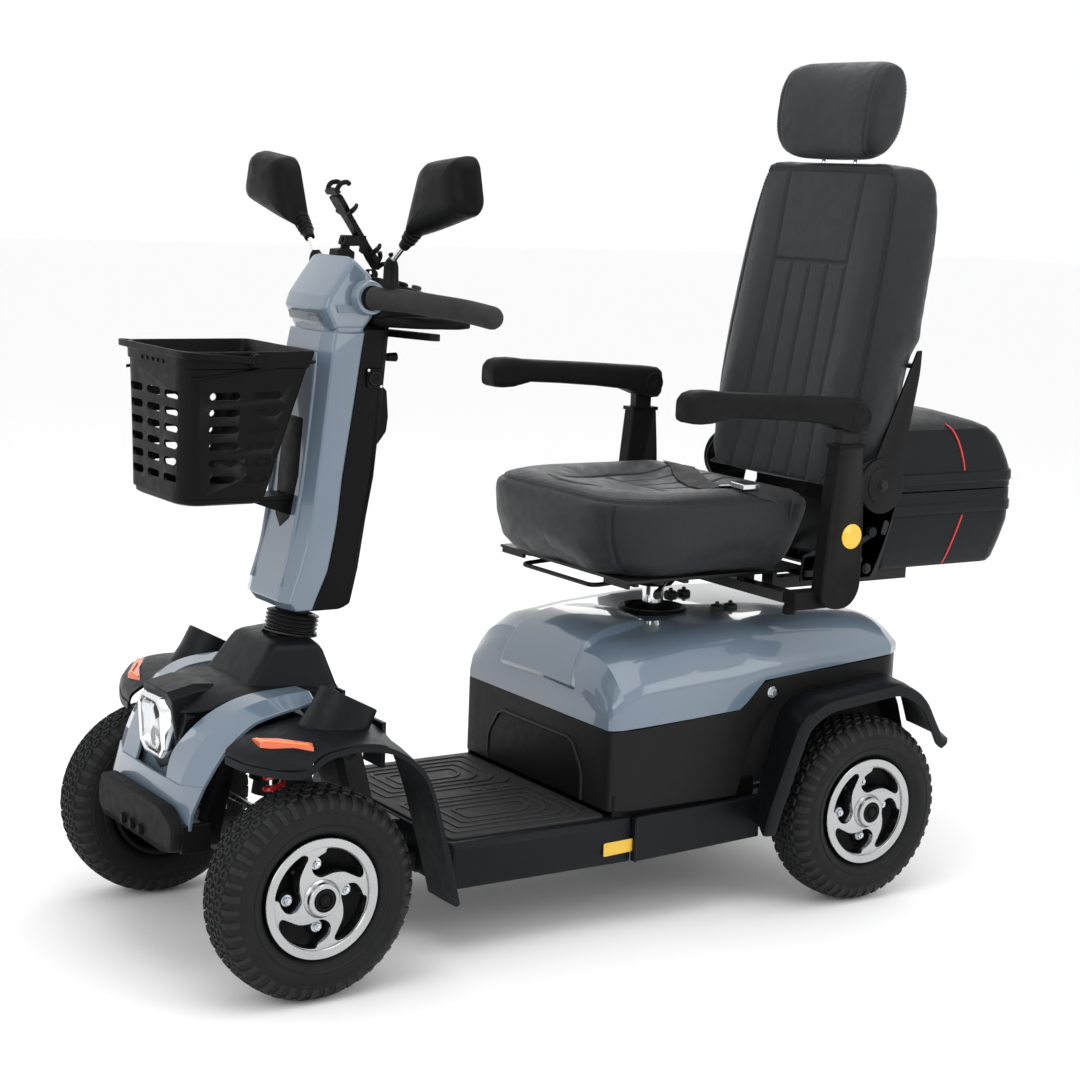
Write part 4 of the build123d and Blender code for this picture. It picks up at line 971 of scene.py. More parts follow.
    # rubber bumper with folded ends and three raised studs
    bumper = Shape()
    front = [(-118, 270), (118, 270), (150, 246), (150, 212), (134, 200), (-134, 200), (-150, 212),
             (-150, 246)]
    rings = []
    for depth, scale in ((-833, 1.0), (-846, 1.0), (-851, 0.985), (-854.5, 0.95)):
        rings.append([(px * scale + 0, depth + (5 if abs(px) > 130 and depth < -840 else 0),
                       235 + (pz - 235) * (scale if scale < 1 else 1)) for px, pz in fillet(front, 14, 3)])
    bumper.loft(rings)
    for px in (-34, 0, 34):
        bumper.loft([[(px + u, -850, 214 + v) for u, v in fillet([(-6, -9), (6, -9), (6, 9), (-6, 9)], 5, 3)],
                     [(px + u * 0.8, -857, 214 + v * 0.85) for u,
                      v in fillet([(-6, -9), (6, -9), (6, 9), (-6, 9)], 5, 3)]])
    bumper.box(138, 150, -834, -786, 202, 246)
    bumper.box(-150, -138, -834, -786, 202, 246)
    bumper.piece("bumper_pad", "chassis", TEXTURED, "rubber", ["front_bumper"], bevel=1.6, angle=30)


front_body()


# ---------------------------------------------------------------- deck and running gear


def deck():
    shape = Shape()
    pan = [(-245, -411), (245, -411), (245, -57), (-245, -57)]
    shape.loft([[(px * 0.985, py, 110) for px, py in fillet(pan, 8, 2)],
                [(px, py, 150) for px, py in fillet(pan, 8, 2)],
                [(px, py, 176) for px, py in fillet(pan, 8, 2)],
                [(px * 0.972, py, 187) for px, py in fillet(pan, 8, 2)]])
    shape.loft([[(px, -411, 186), (px, -454, 187), (px, -528, 329), (px, -534, 329), (px, -460, 181),
                 (px, -411, 180)]
                for px in (-78, 78)])
    for px in (-170, -120, 120, 170):
        shape.box(px - 6, px + 6, -409, -60, 106, 112)
    shape.slab([(-60, 112), (-60, 186), (-54, 190), (150, 194), (206, 197), (206, 122), (150, 120)], 241,
               254, "x")
    shape.slab([(-60, 112), (-60, 186), (-54, 190), (150, 194), (206, 197), (206, 122), (150, 120)], -254,
               -241, "x")
    shape.piece("deck_tray", "chassis", CHARCOAL, "charcoal", ["floor_pan"], bevel=2.5, angle=30)

    mat = Shape()
    sheet = fillet([(-224, -404), (224, -404), (224, -102), (-224, -102)], 12, 3)
    mat.loft([[(px, py, 186.5) for px, py in sheet], [(px, py, 190.5) for px, py in sheet],
              [(px * 0.994, py + (1 if py < -200 else -1), 191.2) for px, py in sheet]])
    for px in (-1, 1):
        for inset in (0, 1, 2, 3):
            wide, tall = 92 - inset * 21, 132 - inset * 21
            cx, cy = px * 112, -253
            ring = [(cx - wide, cy - tall), (cx - wide + 26, cy - tall), (cx + wide, cy - tall),
                    (cx + wide, cy + tall - 22),
                    (cx + wide - 22, cy + tall), (cx - wide, cy + tall)]
            path = fillet(ring, 9, 2)
            inner = [((u - cx) * (wide - 5.5) / wide + cx, (v - cy) * (tall - 5.5) / tall + cy) for u,
                     v in path]
            mat.loft([[(u, v, 190) for u, v in path], [(u, v, 193.2) for u, v in path],
                      [(u, v, 193.2) for u, v in inner], [(u, v, 190) for u, v in inner]], loop=True)
    for k in range(3):
        y0 = -150 - 30 * k
        mat.box(-7, 7, y0 - 18, y0, 190, 193)
    mat.piece("floor_mat_ribs", "chassis", RUBBER, "rubber", ["floor_mat"], bevel=0.8, segments=2, angle=35)

    mark = Shape()
    mark.slab(fillet([(-118, 127), (-52, 130), (-52, 152), (-118, 150)], 3, 2), 245.3, 247, "x")
    mark.mirror()
    mark.piece("side_reflectors", "chassis", YELLOW, "amber", bevel=0.5, segments=2)
    seam = Shape()
    seam.slab([(-57.6, 112), (-55.4, 112), (-55.4, 187), (-57.6, 187)], 244, 255.2, "x")
    seam.mirror()
    seam.piece("deck_seams", "chassis", BLACK, "black_plastic")


def coil_springs():
    shape = Shape()
    low, high = 197.5, 347.5
    turns = 6
    wire = []
    steps = turns * 20
    bottom, top = 214, 318
    for k in range(steps + 1):
        t = k / steps
        a = 2 * math.pi * turns * t
        z = bottom + (top - bottom) * (t + 0.012 * math.sin(2 * math.pi * t))
        wire.append((172 + 14.6 * math.cos(a), -692 + 14.6 * math.sin(a), z))
    shape.tube(wire, 3.6, 10)
    shape.spun((172, -692, 0), (0, 0, 1), [(low, 0.2), (low, 8), (low + 6, 13), (210, 17.6), (213.5, 17.6),
                                          (214, 9), (240, 8), (240, 0.2)], 32, slot=1)
    shape.spun((172, -692, 0), (0, 0, 1), [(236, 0.2), (236, 4.6), (300, 4.6), (300, 0.2)], 24, slot=2)
    shape.spun((172, -692, 0), (0, 0, 1), [(296, 0.2), (296, 9.5), (300, 12), (319, 12), (319, 17.6),
                                           (323, 17.8),
                                          (324, 14), (327, 15.5), (330, 14), (333, 15.5), (336, 14),
                                          (339, 15.5),
                                          (342, 13), (high, 12), (high, 0.2)], 36, slot=2)
    shape.mirror()
    obj = shape.piece("coil_overs", "front_axle", [SPRING, BLACK, CHROME], "spring_red", ["springs_front"],
                      angle=35)
    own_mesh(obj)


def gaiter():
    tilt = math.radians(9.2)
    axis = Vector((0, math.sin(tilt), math.cos(tilt)))
    base = Vector((0, -583, 500))
    profile = []
    folds = 5
    for k in range(folds):
        d = 1 + 33 * k / folds
        profile += [(d, 37), (d + 1.6, 42.2), (d + 3.0, 43.2), (d + 4.4, 42.2), (d + 6.0, 37)]
    profile += [(34, 36), (34, 31), (1, 31)]
    shape = Shape().spun(base, axis, profile, 56)
    shape.spun(base, axis, [(-3, 31), (-3, 40), (-1, 44.6), (1.5, 44.6), (2, 40), (2, 31)], 56)
    obj = shape.piece("gaiter_folds", "steering_column", GAITER, "rubber", ["steering_gaiter"], angle=55)
    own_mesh(obj)


deck()
coil_springs()
gaiter()

# ---------------------------------------------------------------- rear body


def cover_ring(y, half, shoulder, ridge, low, mid, high, radii):
    corners = [(-half, low), (half, low), (half, mid), (shoulder, high - 13), (ridge, high), (-ridge, high),
               (-shoulder, high - 13), (-half, mid)]
    return [(px, y, pz) for px, pz in fillet(corners, radii, 5)]


def rear_body():
    stations = [
        (-102, 222, 168, 130, 335, 357, 392),
        (-96, 228, 178, 138, 335, 372, 418),
        (-80, 235, 190, 146, 336, 388, 446),
        (-40, 240, 200, 152, 339, 404, 466),
        (60, 241, 205, 158, 344, 410, 478),
        (164, 241, 206, 160, 350, 416, 486),
        (212, 241, 206, 160, 397, 424, 489),
        (330, 241, 205, 160, 406, 432, 490),
        (450, 241, 202, 156, 415, 436, 486),
        (500, 239, 196, 150, 418.5, 437, 480),
        (532, 218, 178, 138, 418, 434, 470),
        (548, 200, 160, 124, 418, 429, 452),
    ]
    radii = [1, 1, 14, 26, 26, 26, 26, 14]
    rings = [cover_ring(*row, radii) for row in stations]
    dense = []
    for a, b in zip(rings, rings[1:]):
        for k in range(3):
            t = k / 3
            dense.append([tuple(Vector(p).lerp(Vector(q), t)) for p, q in zip(a, b)])
    dense.append(rings[-1])
    cover = Shape().loft(dense).piece("rear_lid", "chassis", PAINT, "paint_blue", ["rear_cover"])
    hollow = []
    for ring in dense:
        hollow.append([(p[0] * 0.97, p[1] * 0.985 + 2, p[2] - 6 - (40 if i < 12 else 0)) for i,
                       p in enumerate(ring)])
    well = Shape().spun((0, 140, 430), (0, 0, 1), [(0, 0.2), (0, 57), (80, 57), (80, 0.2)], 64)
    cut(cover, well)
    cover.data.set_sharp_from_angle(angle=math.radians(60))
    soften = cover.modifiers.new("soft", "BEVEL")
    soften.width = 0.004
    soften.segments = 3
    soften.limit_method = "ANGLE"
    soften.angle_limit = math.radians(22)
    soften.harden_normals = True
    for face in cover.data.polygons:
        face.use_smooth = True

    # raised scoop on the front slope
    scoop = [
        [(-124, -100, 384), (-112, -107, 390), (0, -108, 394), (112, -107, 390), (124, -100, 384)],
        [(-118, -88, 414), (-106, -97, 424), (0, -98, 429), (106, -97, 424), (118, -88, 414)],
        [(-112, -66, 446), (-100, -72, 459), (0, -72, 464), (100, -72, 459), (112, -66, 446)],
        [(-106, -30, 465), (-95, -30, 479), (0, -30, 484), (95, -30, 479), (106, -30, 465)],
        [(-98, 24, 473), (-88, 24, 486), (0, 24, 490.5), (88, 24, 486), (98, 24, 473)],
        [(-90, 60, 476), (-80, 64, 485), (0, 68, 489), (80, 64, 485), (90, 60, 476)],
    ]
    Shape().sheet(ring_spline(scoop, 4), (0, 6, -10)).piece("rear_lid_scoop", "chassis", PAINT, "paint_blue",
                                                          bevel=2.6, segments=3, angle=26)
    ring = Shape().spun((0, 140, 0), (0, 0, 1),
                        [(484, 56.5), (485.5, 62), (488, 62.5), (490.5, 60), (491, 54),
                                                (488, 50), (470, 47), (460, 30), (458, 30), (458, 57)], 72)
    ring.spun((0, 140, 0), (0, 0, 1), [(450, 19.2), (450, 34), (458, 34), (462, 28), (463, 19.2)], 48, slot=1)
    ring.piece("post_collar", "chassis", [BLACK, RUBBER], "black_plastic", angle=40)
    knobs = Shape()
    for px, py in ((-70, 232), (-70, 262), (70, 232), (70, 262)):
        knobs.spun((px, py, 489), (0, 0, 1),
                   [(0, 0.2), (0, 13), (7, 12), (9, 9), (9, 4), (14, 3.5), (15, 0.2)], 24)
    knobs.piece("battery_cover_pads", "chassis", RUBBER, "rubber", angle=35)

    # black lower body
    shape = Shape()
    plan = fillet([(-230, -101), (230, -101), (241, -58), (241, 500), (196, 549), (-196, 549), (-241, 500),
                   (-241, -58)], [10, 10, 16, 18, 12, 12, 18, 16], 3)

    def edge_height(py):
        table = [(-110, 332), (-101, 333.5), (164, 349), (212, 396), (507, 417), (560, 415)]
        for (y0, z0), (y1, z1) in zip(table, table[1:]):
            if py <= y1:
                return z0 + (z1 - z0) * (py - y0) / (y1 - y0)
        return 415
    fine = []
    for i, (px, py) in enumerate(plan):
        qx, qy = plan[(i + 1) % len(plan)]
        steps = max(1, int(math.hypot(qx - px, qy - py) / 24))
        fine += [(px + (qx - px) * k / steps, py + (qy - py) * k / steps) for k in range(steps)]
    top = [(px, py, edge_height(py)) for px, py in fine]
    low = [(px, py, 198) for px, py in fine]
    inner_top = [(px * 0.978, py * 0.986 + 2, edge_height(py) - 0.2) for px, py in fine]
    inner_low = [(px * 0.978, py * 0.986 + 2, 198) for px, py in fine]
    shape.loft([low, top, inner_top, inner_low], loop=True)
    body = shape.piece("rear_lower_body", "chassis", BLACK, "black_plastic", ["rear_shroud"])
    arch_cut = Shape()
    well_line = [(156, 180), (190, 300), (236, 360), (300, 378), (470, 378), (522, 334), (560, 230),
                 (560, 180)]
    arch_cut.slab(fillet(well_line, [2, 20, 24, 20, 20, 20, 2, 2], 4), 200, 260, "x")
    arch_cut.mirror()
    arch_cut.box(-140, 140, 530, 560, 180, 268)
    cut(body, arch_cut)
    body.data.set_sharp_from_angle(angle=math.radians(35))
    lining = Shape()
    line = [(160, 198), (188, 302), (236, 362), (300, 380), (470, 380), (522, 336), (552, 240)]
    rows = []
    for px in (184, 238):
        rows.append([(px, py, pz) for py, pz in [p[:2] for p in fillet(line, [2, 20, 24, 20, 20, 20, 2],
            4)][3:-3]])
    lining.sheet(rows, (0, 0, 4))
    lining.mirror()
    wall = Shape()
    wall.slab([(156, 198), (190, 302), (236, 362), (300, 378), (470, 378), (522, 334), (548, 240),
               (548, 198)],
              182, 186, "x")
    wall.mirror()
    lining.piece("wheel_arch_lining", "chassis", TEXTURED, "black_plastic", angle=40)
    wall.piece("wheel_arch_wall", "chassis", TEXTURED, "black_plastic", angle=40)

    trim = Shape()
    run = [Vector((px, -101.5, pz)) for px, pz in
           [(-150, 199), (-148, 244), (-142, 258), (-118, 290), (-104, 297), (104, 297), (118, 290),
            (142, 258),
            (148, 244), (150, 199)]]
    trim.tube(run, 3.6, 8)
    trim.piece("front_trim_line", "chassis", CHARCOAL, "charcoal", angle=50)
    inset = Shape().loft([[(px, -101.2, pz) for px, pz in
                           [(-148, 199), (-144, 254), (-108, 295), (108, 295), (144, 254), (148, 199)]],
                          [(px * 0.985, -103, pz) for px, pz in
                           [(-148, 199), (-144, 254), (-108, 295), (108, 295), (144, 254), (148, 199)]]])
    inset.piece("front_trim_panel", "chassis", BLACK, "black_plastic", bevel=1.0)
    bolts = Shape()
    for sign in (1, -1):
        bolts.spun((sign * 241, 228, 375), (sign, 0, 0),
                   [(-1, 0.2), (-1, 10), (1.5, 10), (2.5, 9), (2.5, 0.2)], 28)
        bolts.bolt((sign * 242, 228, 375), (sign, 0, 0), 6.5, 7)
    bolts.piece("cover_bolts", "chassis", ZINC, "steel", angle=35)

    walls = Shape().box(226, 233, -94, 205, 128, 226).mirror()
    walls.piece("deck_inner_walls", "chassis", BLACK, "black_plastic", bevel=0.8)

    # flared rear mudguards
    near = [(197, 150), (208, 200), (246, 343), (279, 366), (440, 386), (493, 387), (528, 352), (550, 294)]
    far = [(151, 151), (164, 196), (222, 345), (270, 374), (449, 392), (503, 362), (550, 286), (566, 278)]
    tip = [(151, 151), (164, 196), (222, 345), (270, 374), (449, 392), (503, 362), (548, 284), (562, 274)]
    radii = [1, 20, 30, 24, 30, 26, 16, 1]

    def rounded(points, px, drop=0.0):
        """Points of an open line with rounded corners."""
        made = []
        for i, (py, pz) in enumerate(points):
            if i in (0, len(points) - 1):
                made.append((px, py, pz - drop))
                continue
            p = Vector((py, pz))
            a = Vector(points[i - 1]) - p
            b = Vector(points[i + 1]) - p
            reach = min(radii[i], 0.45 * a.length, 0.45 * b.length)
            s, e = p + a.normalized() * reach, p + b.normalized() * reach
            for k in range(6):
                t = k / 5
                q = (1 - t) ** 2 * s + 2 * t * (1 - t) * p + t * t * e
                made.append((px, q.x, q.y - drop))
        return made
    def toward(points, amount):
        made = []
        for px, py, pz in points:
            run = Vector((387 - py, 165 - pz)).normalized() * amount
            made.append((px, py + run.x, pz + run.y))
        return made
    rows = [rounded(near, 241), rounded([((a[0] + b[0]) / 2, (a[1] + b[1]) / 2 + 3) for a,
                                         b in zip(near, far)], 292),
            rounded(far, 331), toward(rounded(tip, 338), 3), toward(rounded(tip, 340.5), 10),
            toward(rounded(tip, 340), 21)]
    under = [toward(row, 5) for row in rows[:3]] + [toward(rounded(tip, 334), 9),
                                                    toward(rounded(tip, 335.5), 21)]
    section = rows + under[::-1]
    shape = Shape()
    count = len(rows[0])
    shape.loft([[section[r][i] for r in range(len(section))] for i in range(count)])
    shape.mirror()
    shape.piece("rear_mudguards", "chassis", CHARCOAL, "charcoal", ["rear_fenders"], bevel=1.2, segments=2,
                angle=30)

    lamps = Shape()
    lamps.loft([[(px, 549, pz) for px, pz in fillet([(118, 390), (184, 390), (184, 430), (118, 430)], 5, 2)],
                [(px, 560, pz) for px, pz in fillet([(122, 394), (180, 394), (180, 426), (122, 426)], 4, 2)]])
    for k in range(6):
        lamps.box(124 + 9 * k, 128 + 9 * k, 559, 561.5, 397, 423)
    lamps.mirror()
    lamps.piece("rear_lamps", "chassis", REDLENS, "amber", bevel=1.2)
    rear_bar = Shape()
    rear_bar.slab(fillet([(-150, 238), (150, 238), (150, 264), (-150, 264)], 8, 3), 552, 569, "y")
    rear_bar.piece("rear_bumper_skin", "chassis", TEXTURED, "rubber", bevel=3)


rear_body()

# ---------------------------------------------------------------- tiller


def tiller():
    levels = [
        # z, front, shoulder, seam, face half width
        (548, -622, -612, -583, 44),
        (562, -636, -624, -578, 50),
        (610, -622, -606, -557, 52),
        (660, -608, -592, -547, 53),
        (690, -601, -587, -542, 54),
        (760, -592, -579, -535, 55),
        (880, -581, -566, -517, 56),
        (960, -572, -558, -506, 56),
        (988, -566, -554, -501, 56),
    ]
    shape = Shape()
    rings = []
    for z, front, shoulder, seam, half in levels:
        front = max(front, -632)
        corners = [(-half, front), (half, front), (78, shoulder), (79, (shoulder + seam) / 2), (78, seam),
                   (-78, seam), (-79, (shoulder + seam) / 2), (-78, shoulder)]
        rings.append([(px, py, z) for px, py in corners])
    shape.loft(rings)
    shape.piece("tiller_front", "tiller", PAINT, "paint_blue", ["tiller_front_cover"], bevel=3.2, segments=4,
                angle=9)
    # raised frame round the bracket on the front face
    rim = Shape()
    for side in (-1, 1):
        track = [(side * 50, -628, 586), (side * 50, -612, 640), (side * 52, -601, 700),
                 (side * 53, -591, 780),
                 (side * 54, -579, 905), (side * 50, -574, 955)]
        rim.tube(spline(track, 4), 4.2, 10)
    rim.piece("tiller_face_ribs", "tiller", PAINT, "paint_blue", angle=60)

    side_line = [(-500, 986), (-556, 986), (-562, 1000), (-574, 1022), (-567, 1042), (-545, 1074),
                 (-521, 1106),
                 (-489, 1080), (-478, 1060), (-480, 1010)]
    head = Shape()

    def head_ring(px, grow):
        cy, cz = -520, 1045
        return [(px, cy + (py - cy) * grow, cz + (pz - cz) * grow) for py, pz in side_line]

    head.loft([head_ring(-72, 0.86), head_ring(-66, 0.95), head_ring(-50, 1.0), head_ring(50, 1.0),
               head_ring(66, 0.95),
               head_ring(72, 0.86)])
    head.loft([[(px, py, z) for px, py in ((-51, -560), (51, -560), (71, -549), (71, -500), (-71, -500),
                                           (-71, -549))]
               for z in (980, 1006)])
    head.piece("tiller_head", "tiller", PAINT, "paint_blue", bevel=3.5, segments=4, angle=12)
    collar = Shape()
    collar.spun((0, -500, 1042), (1, 0, 0), [(60, 20.5), (60, 24), (66, 25.5), (72, 28), (78, 28), (80, 26.5),
                                             (91, 26.5), (93, 25), (93, 19.5)], 48)
    ridge = [[(60, -560, 1030), (60, -520, 1026), (60, -520, 1016), (60, -556, 1014)],
             [(74, -552, 1030), (76, -515, 1030), (76, -515, 1020), (74, -548, 1018)]]
    collar.loft(ridge)
    collar.mirror()
    collar.piece("handle_collars", "tiller", PAINT, "paint_blue", angle=40)
    visor = Shape()
    visor.loft([[(-52, -569, 1002), (52, -569, 1002), (48, -575, 1015), (-48, -575, 1015)],
                [(-52, -560, 1004), (52, -560, 1004), (48, -566, 1017), (-48, -566, 1017)]])
    visor.piece("head_lamp_strip", "tiller", VISOR, "lens", bevel=1)

    # black rear shell
    levels = [(545, -583, -520, 70), (552, -581, -508, 72), (610, -557, -496, 74), (690, -541, -484, 74),
              (756, -534, -472, 74), (850, -521, -463, 74), (993, -500, -451, 74)]
    rings = []
    for z, seam, rear, half in levels:
        corners = [(-half, seam), (half, seam), (half, rear - 14), (half - 10, rear), (-half + 10, rear),
                   (-half, rear - 14)]
        rings.append([(px, py, z) for px, py in corners])
    back = Shape().loft(rings)
    back.loft([[(px, py, pz) for py, pz in [(-490, 800), (-458, 806), (-443, 826), (-440, 850), (-444, 892),
                                            (-460, 908),
                                            (-490, 912)]] for px in (-50, 50)])
    back.piece("tiller_rear", "tiller", BLACK, "black_plastic", ["tiller_rear_cover"], bevel=3, segments=3,
               angle=10)
    seam = Shape()
    line = [(79, -583.5, 548), (79, -557, 610), (79, -542, 690), (79, -535, 756), (79, -517, 880),
            (79, -500.5, 992)]
    seam.tube(spline(line, 4), 1.3, 8)
    seam.mirror()
    seam.piece("tiller_seam", "tiller", BLACK, "black_plastic")
    post = Shape()
    tilt = math.radians(9.2)
    axis = Vector((0, math.sin(tilt), math.cos(tilt)))
    post.spun((0, -583, 500), axis, [(24, 18), (26, 26), (46, 27), (50, 24), (52, 18)], 40)
    post.spun((0, -583, 500), axis, [(10, 0.2), (10, 17), (60, 17), (60, 0.2)], 32, slot=0)
    post.piece("tiller_post_collar", "tiller", STEELBLACK, "frame_black", angle=35)
    port = Shape()
    port.loft([[(74, py, pz) for py, pz in fillet([(-497, 899), (-468, 899), (-468, 931), (-497, 931)], 6,
                                                  3)],
               [(78.5, py, pz) for py, pz in fillet([(-496, 900), (-469, 900), (-469, 930), (-496, 930)], 6,
                                                    3)]])
    port.spun((78, -482.5, 915), (1, 0, 0),
              [(0, 0.2), (0, 12.5), (2.5, 12), (3.2, 10), (2.2, 9), (2.2, 0.2)], 32)
    port.spun((78, -494, 928), (1, 0, 0), [(-1, 0.2), (-1, 2.8), (1.2, 2.4), (1.6, 0.2)], 16, slot=1)
    port.spun((78, -471, 902), (1, 0, 0), [(-1, 0.2), (-1, 2.8), (1.2, 2.4), (1.6, 0.2)], 16, slot=1)
    port.piece("charger_socket", "tiller", [BLACK, ZINC], "black_plastic", bevel=0.8, segments=2, angle=40)
    lever = Shape()
    lever.tube([(40, -470, 945), (40, -440, 945)], 5, 16)
    lever.tube([(40, -442, 945), (40, -424, 945)], [6.5, 7.5], 16)
    lever.piece("tilt_knob", "tiller", BLACK, "black_plastic", bevel=1.2)

    # control pod with its printed rings, switches and display
    pod = Shape()
    base = [(-74, -488), (74, -488), (132, -438), (150, -372), (127, -336), (-127, -336), (-150, -372),
            (-132, -438)]
    pod.loft([[(px * 0.97, py * 0.995, 996) for px, py in fillet(base, 12, 3)],
              [(px, py, 1002) for px, py in fillet(base, 12, 3)],
              [(px, py, 1010) for px, py in fillet(base, 12, 3)],
              [(px * 0.98, py, 1015) for px, py in fillet(base, 12, 3)]])
    pod.loft([[(-92, -487, 1012), (92, -487, 1012), (92, -342, 1012), (-92, -342, 1012)],
              [(-92, -486, 1062), (92, -486, 1062), (92, -342, 1028), (-92, -342, 1028)],
              [(-84, -482, 1074), (84, -482, 1074), (86, -346, 1036), (-86, -346, 1036)]])
    pod.piece("control_pod", "tiller", BLACK, "black_plastic", ["console"], bevel=4, segments=4, angle=25)

    def on_pod(px, py, up=0.0):
        """A point on the sloping top of the pod."""
        return Vector((px, py, 1074 - (py + 482) * 38 / 136.0 + up))
    normal = Vector((0, math.sin(math.radians(15.6)), math.cos(math.radians(15.6))))
    extras = Shape()
    for radius, spot in ((22, (0, -400)), (12, (56, -400)), (12, (-60, -420))):
        extras.spun(on_pod(*spot, 0.2), normal,
                    [(0, radius - 2.2), (0, radius), (1.4, radius - 0.3), (1.4, radius - 2.0)], 40)
    extras.piece("control_rings", "tiller", CHARCOAL, "black_plastic", angle=40)
    ticks = Shape()
    for k in range(11):
        a = math.radians(-130 + 26 * k)
        for r0, r1 in ((24.5, 29 if k % 5 else 31),):
            u0 = Vector((math.sin(a) * r0, -math.cos(a) * r0 * -1, 0))
            u1 = Vector((math.sin(a) * r1, math.cos(a) * r1, 0))
            p0 = on_pod(u0.x, -400 + u0.y, 0.5)
            p1 = on_pod(u1.x, -400 + u1.y, 0.5)
            ticks.tube([p0, p1], 0.6, 6)
    ticks.piece("dial_scale", "tiller", WHITE, "black_plastic")
    display = Shape()
    display.loft([[on_pod(px, py, 0.1) for px,
                   py in fillet([(-50, -468), (50, -468), (50, -440), (-50, -440)], 5, 3)],
                  [on_pod(px, py, 2.4) for px,
                   py in fillet([(-48, -466), (48, -466), (48, -442), (-48, -442)], 5, 3)]])
    for k in range(8):
        px = -38 + 8 * k
        display.loft([[on_pod(px + u, -450 + v, w) for u, v in ((-2.6, -3), (2.6, -3), (2.6, 3), (-2.6, 3))]
                      for w in (2.2, 2.9)], slot=1 if k > 1 else 2)
    display.piece("battery_gauge", "tiller", [GLASSBLACK, GREENLIGHT, REDLENS], "black_plastic", bevel=0.4,
                  segments=2)
    switches = Shape()
    for px in (-78, -56, 78):
        switches.loft([[on_pod(px + u, -444 + v, w) for u,
                        v in fillet([(-8, -11), (8, -11), (8, 11), (-8, 11)], 2, 2)]
                       for w in (0.2, 2.0)])
        switches.loft([[on_pod(px + u, -444 + v, w + (2.2 if v > 0 else 0.2)) for u, v in
                        ((-5.5, -8.5), (5.5, -8.5), (5.5, 8.5), (-5.5, 8.5))] for w in (1.6, 3.4)])
    switches.piece("rocker_switches", "tiller", BLACK, "black_plastic", bevel=0.7, segments=2)
    dial = Shape()
    tilt_n = Vector((0, math.sin(math.radians(14)), math.cos(math.radians(14))))
    centre = Vector((0, -400, 1051.3))
    dial.spun(centre, tilt_n, [(0, 0.2), (0, 15), (2, 15), (3, 13.4), (10.5, 12.6), (12, 11.4), (12, 0.2)],
              48)
    for k in range(18):
        a = 2 * math.pi * k / 18
        side_v = Vector((1, 0, 0))
        over = tilt_n.cross(side_v)
        out = side_v * math.cos(a) + over * math.sin(a)
        dial.tube([centre + out * 13.0 + tilt_n * 3, centre + out * 12.3 + tilt_n * 10.4], 1.2, 8)
    dial.tube([centre + tilt_n.cross(Vector((1, 0, 0))) * 3 + tilt_n * 12,
               centre + tilt_n.cross(Vector((1, 0, 0))) * 10.5 + tilt_n * 12], 0.9, 8, slot=1)
    dial.piece("speed_knob", "speed_dial", [BLACK, WHITE], "black_plastic", ["speed_dial"], angle=35)
    horn = Shape().spun((56, -400, 1054), tilt_n,
                        [(0, 0.2), (0, 8), (4.6, 8), (6, 6.6), (6.4, 4), (6.4, 0.2)], 32)
    horn.piece("horn_cap", "horn", RUBBER, "black_plastic", ["horn_button"], angle=40)
    key = Shape()
    key.spun((-60, -420, 1030.5), (0, 0, 1), [(0, 0.2), (0, 4), (31, 4), (31, 0.2)], 24)
    key.plate([fillet([(-12, 0), (12, 0), (14, 12), (8, 18), (-8, 18), (-14, 12)], 4, 3),
               [(3 * math.cos(a), 12 + 3 * math.sin(a)) for a in (2 * math.pi * k / 16 for k in range(16))]],
              -1.5, 1.5, lambda u, v, w: (-60 + w, -420 + u, 1062 + v), edge=0.5, slot=1)
    key.piece("key_blade", "key", [ZINC, BLACK], "steel", ["ignition_key"], angle=40)

    # handlebar: steel through the head, foam on the hoops
    bar = Shape()
    route = spline([(94, -501, 1042.2), (122, -488, 1042), (150, -469, 1041), (186, -437, 1036),
                    (218, -409, 1031.5),
                    (246, -398, 1028), (278, -394, 1025)], 6)
    radii = [18.0] * len(route)
    ends = [(route[-1] + Vector((math.sin(a) * 18, 0, -1.4 * math.sin(a))), 18 * math.cos(a)) for a in
            (math.pi / 2 * k / 6 for k in range(1, 7))]
    path = list(route) + [p for p, r in ends]
    radii += [max(r, 0.4) for p, r in ends]
    radii[0] = 16.5
    bar.tube(path, radii, 28)
    bar.tube([(88, -500, 1042), (95, -501, 1042)], 19.4, 28, slot=1)
    bar.mirror()
    bar.tube([(-90, -500, 1042), (90, -500, 1042)], 11.8, 24, slot=2)
    bar.piece("handle_hoops", "tiller", [FOAM, BLACK, STEELBLACK], "foam", ["handlebar"], angle=40)

    paddle = Shape()
    paddle.spun((0, -430, 974), (0, 0, 1), [(0, 0.2), (0, 12), (16, 12), (16, 6), (27, 6), (27, 0.2)], 32)
    wing = fillet([(4, -440), (60, -425), (118, -406), (125, -398), (122, -390), (60, -404), (4, -420)], 5, 3)
    paddle.loft([[(px, py, 976.5) for px, py in wing], [(px, py, 987.5) for px, py in wing]])
    paddle.loft([[(-px, py, 976.5) for px, py in wing], [(-px, py, 987.5) for px, py in wing]])
    paddle.piece("drive_paddle", "throttle", CHARCOAL, "charcoal", ["throttle_lever"], bevel=2.4, segments=3)


GREENLIGHT = look("gauge_green", (0.03, 0.35, 0.05), 0.3, coat=0.6, mottle=0.05)
tiller()


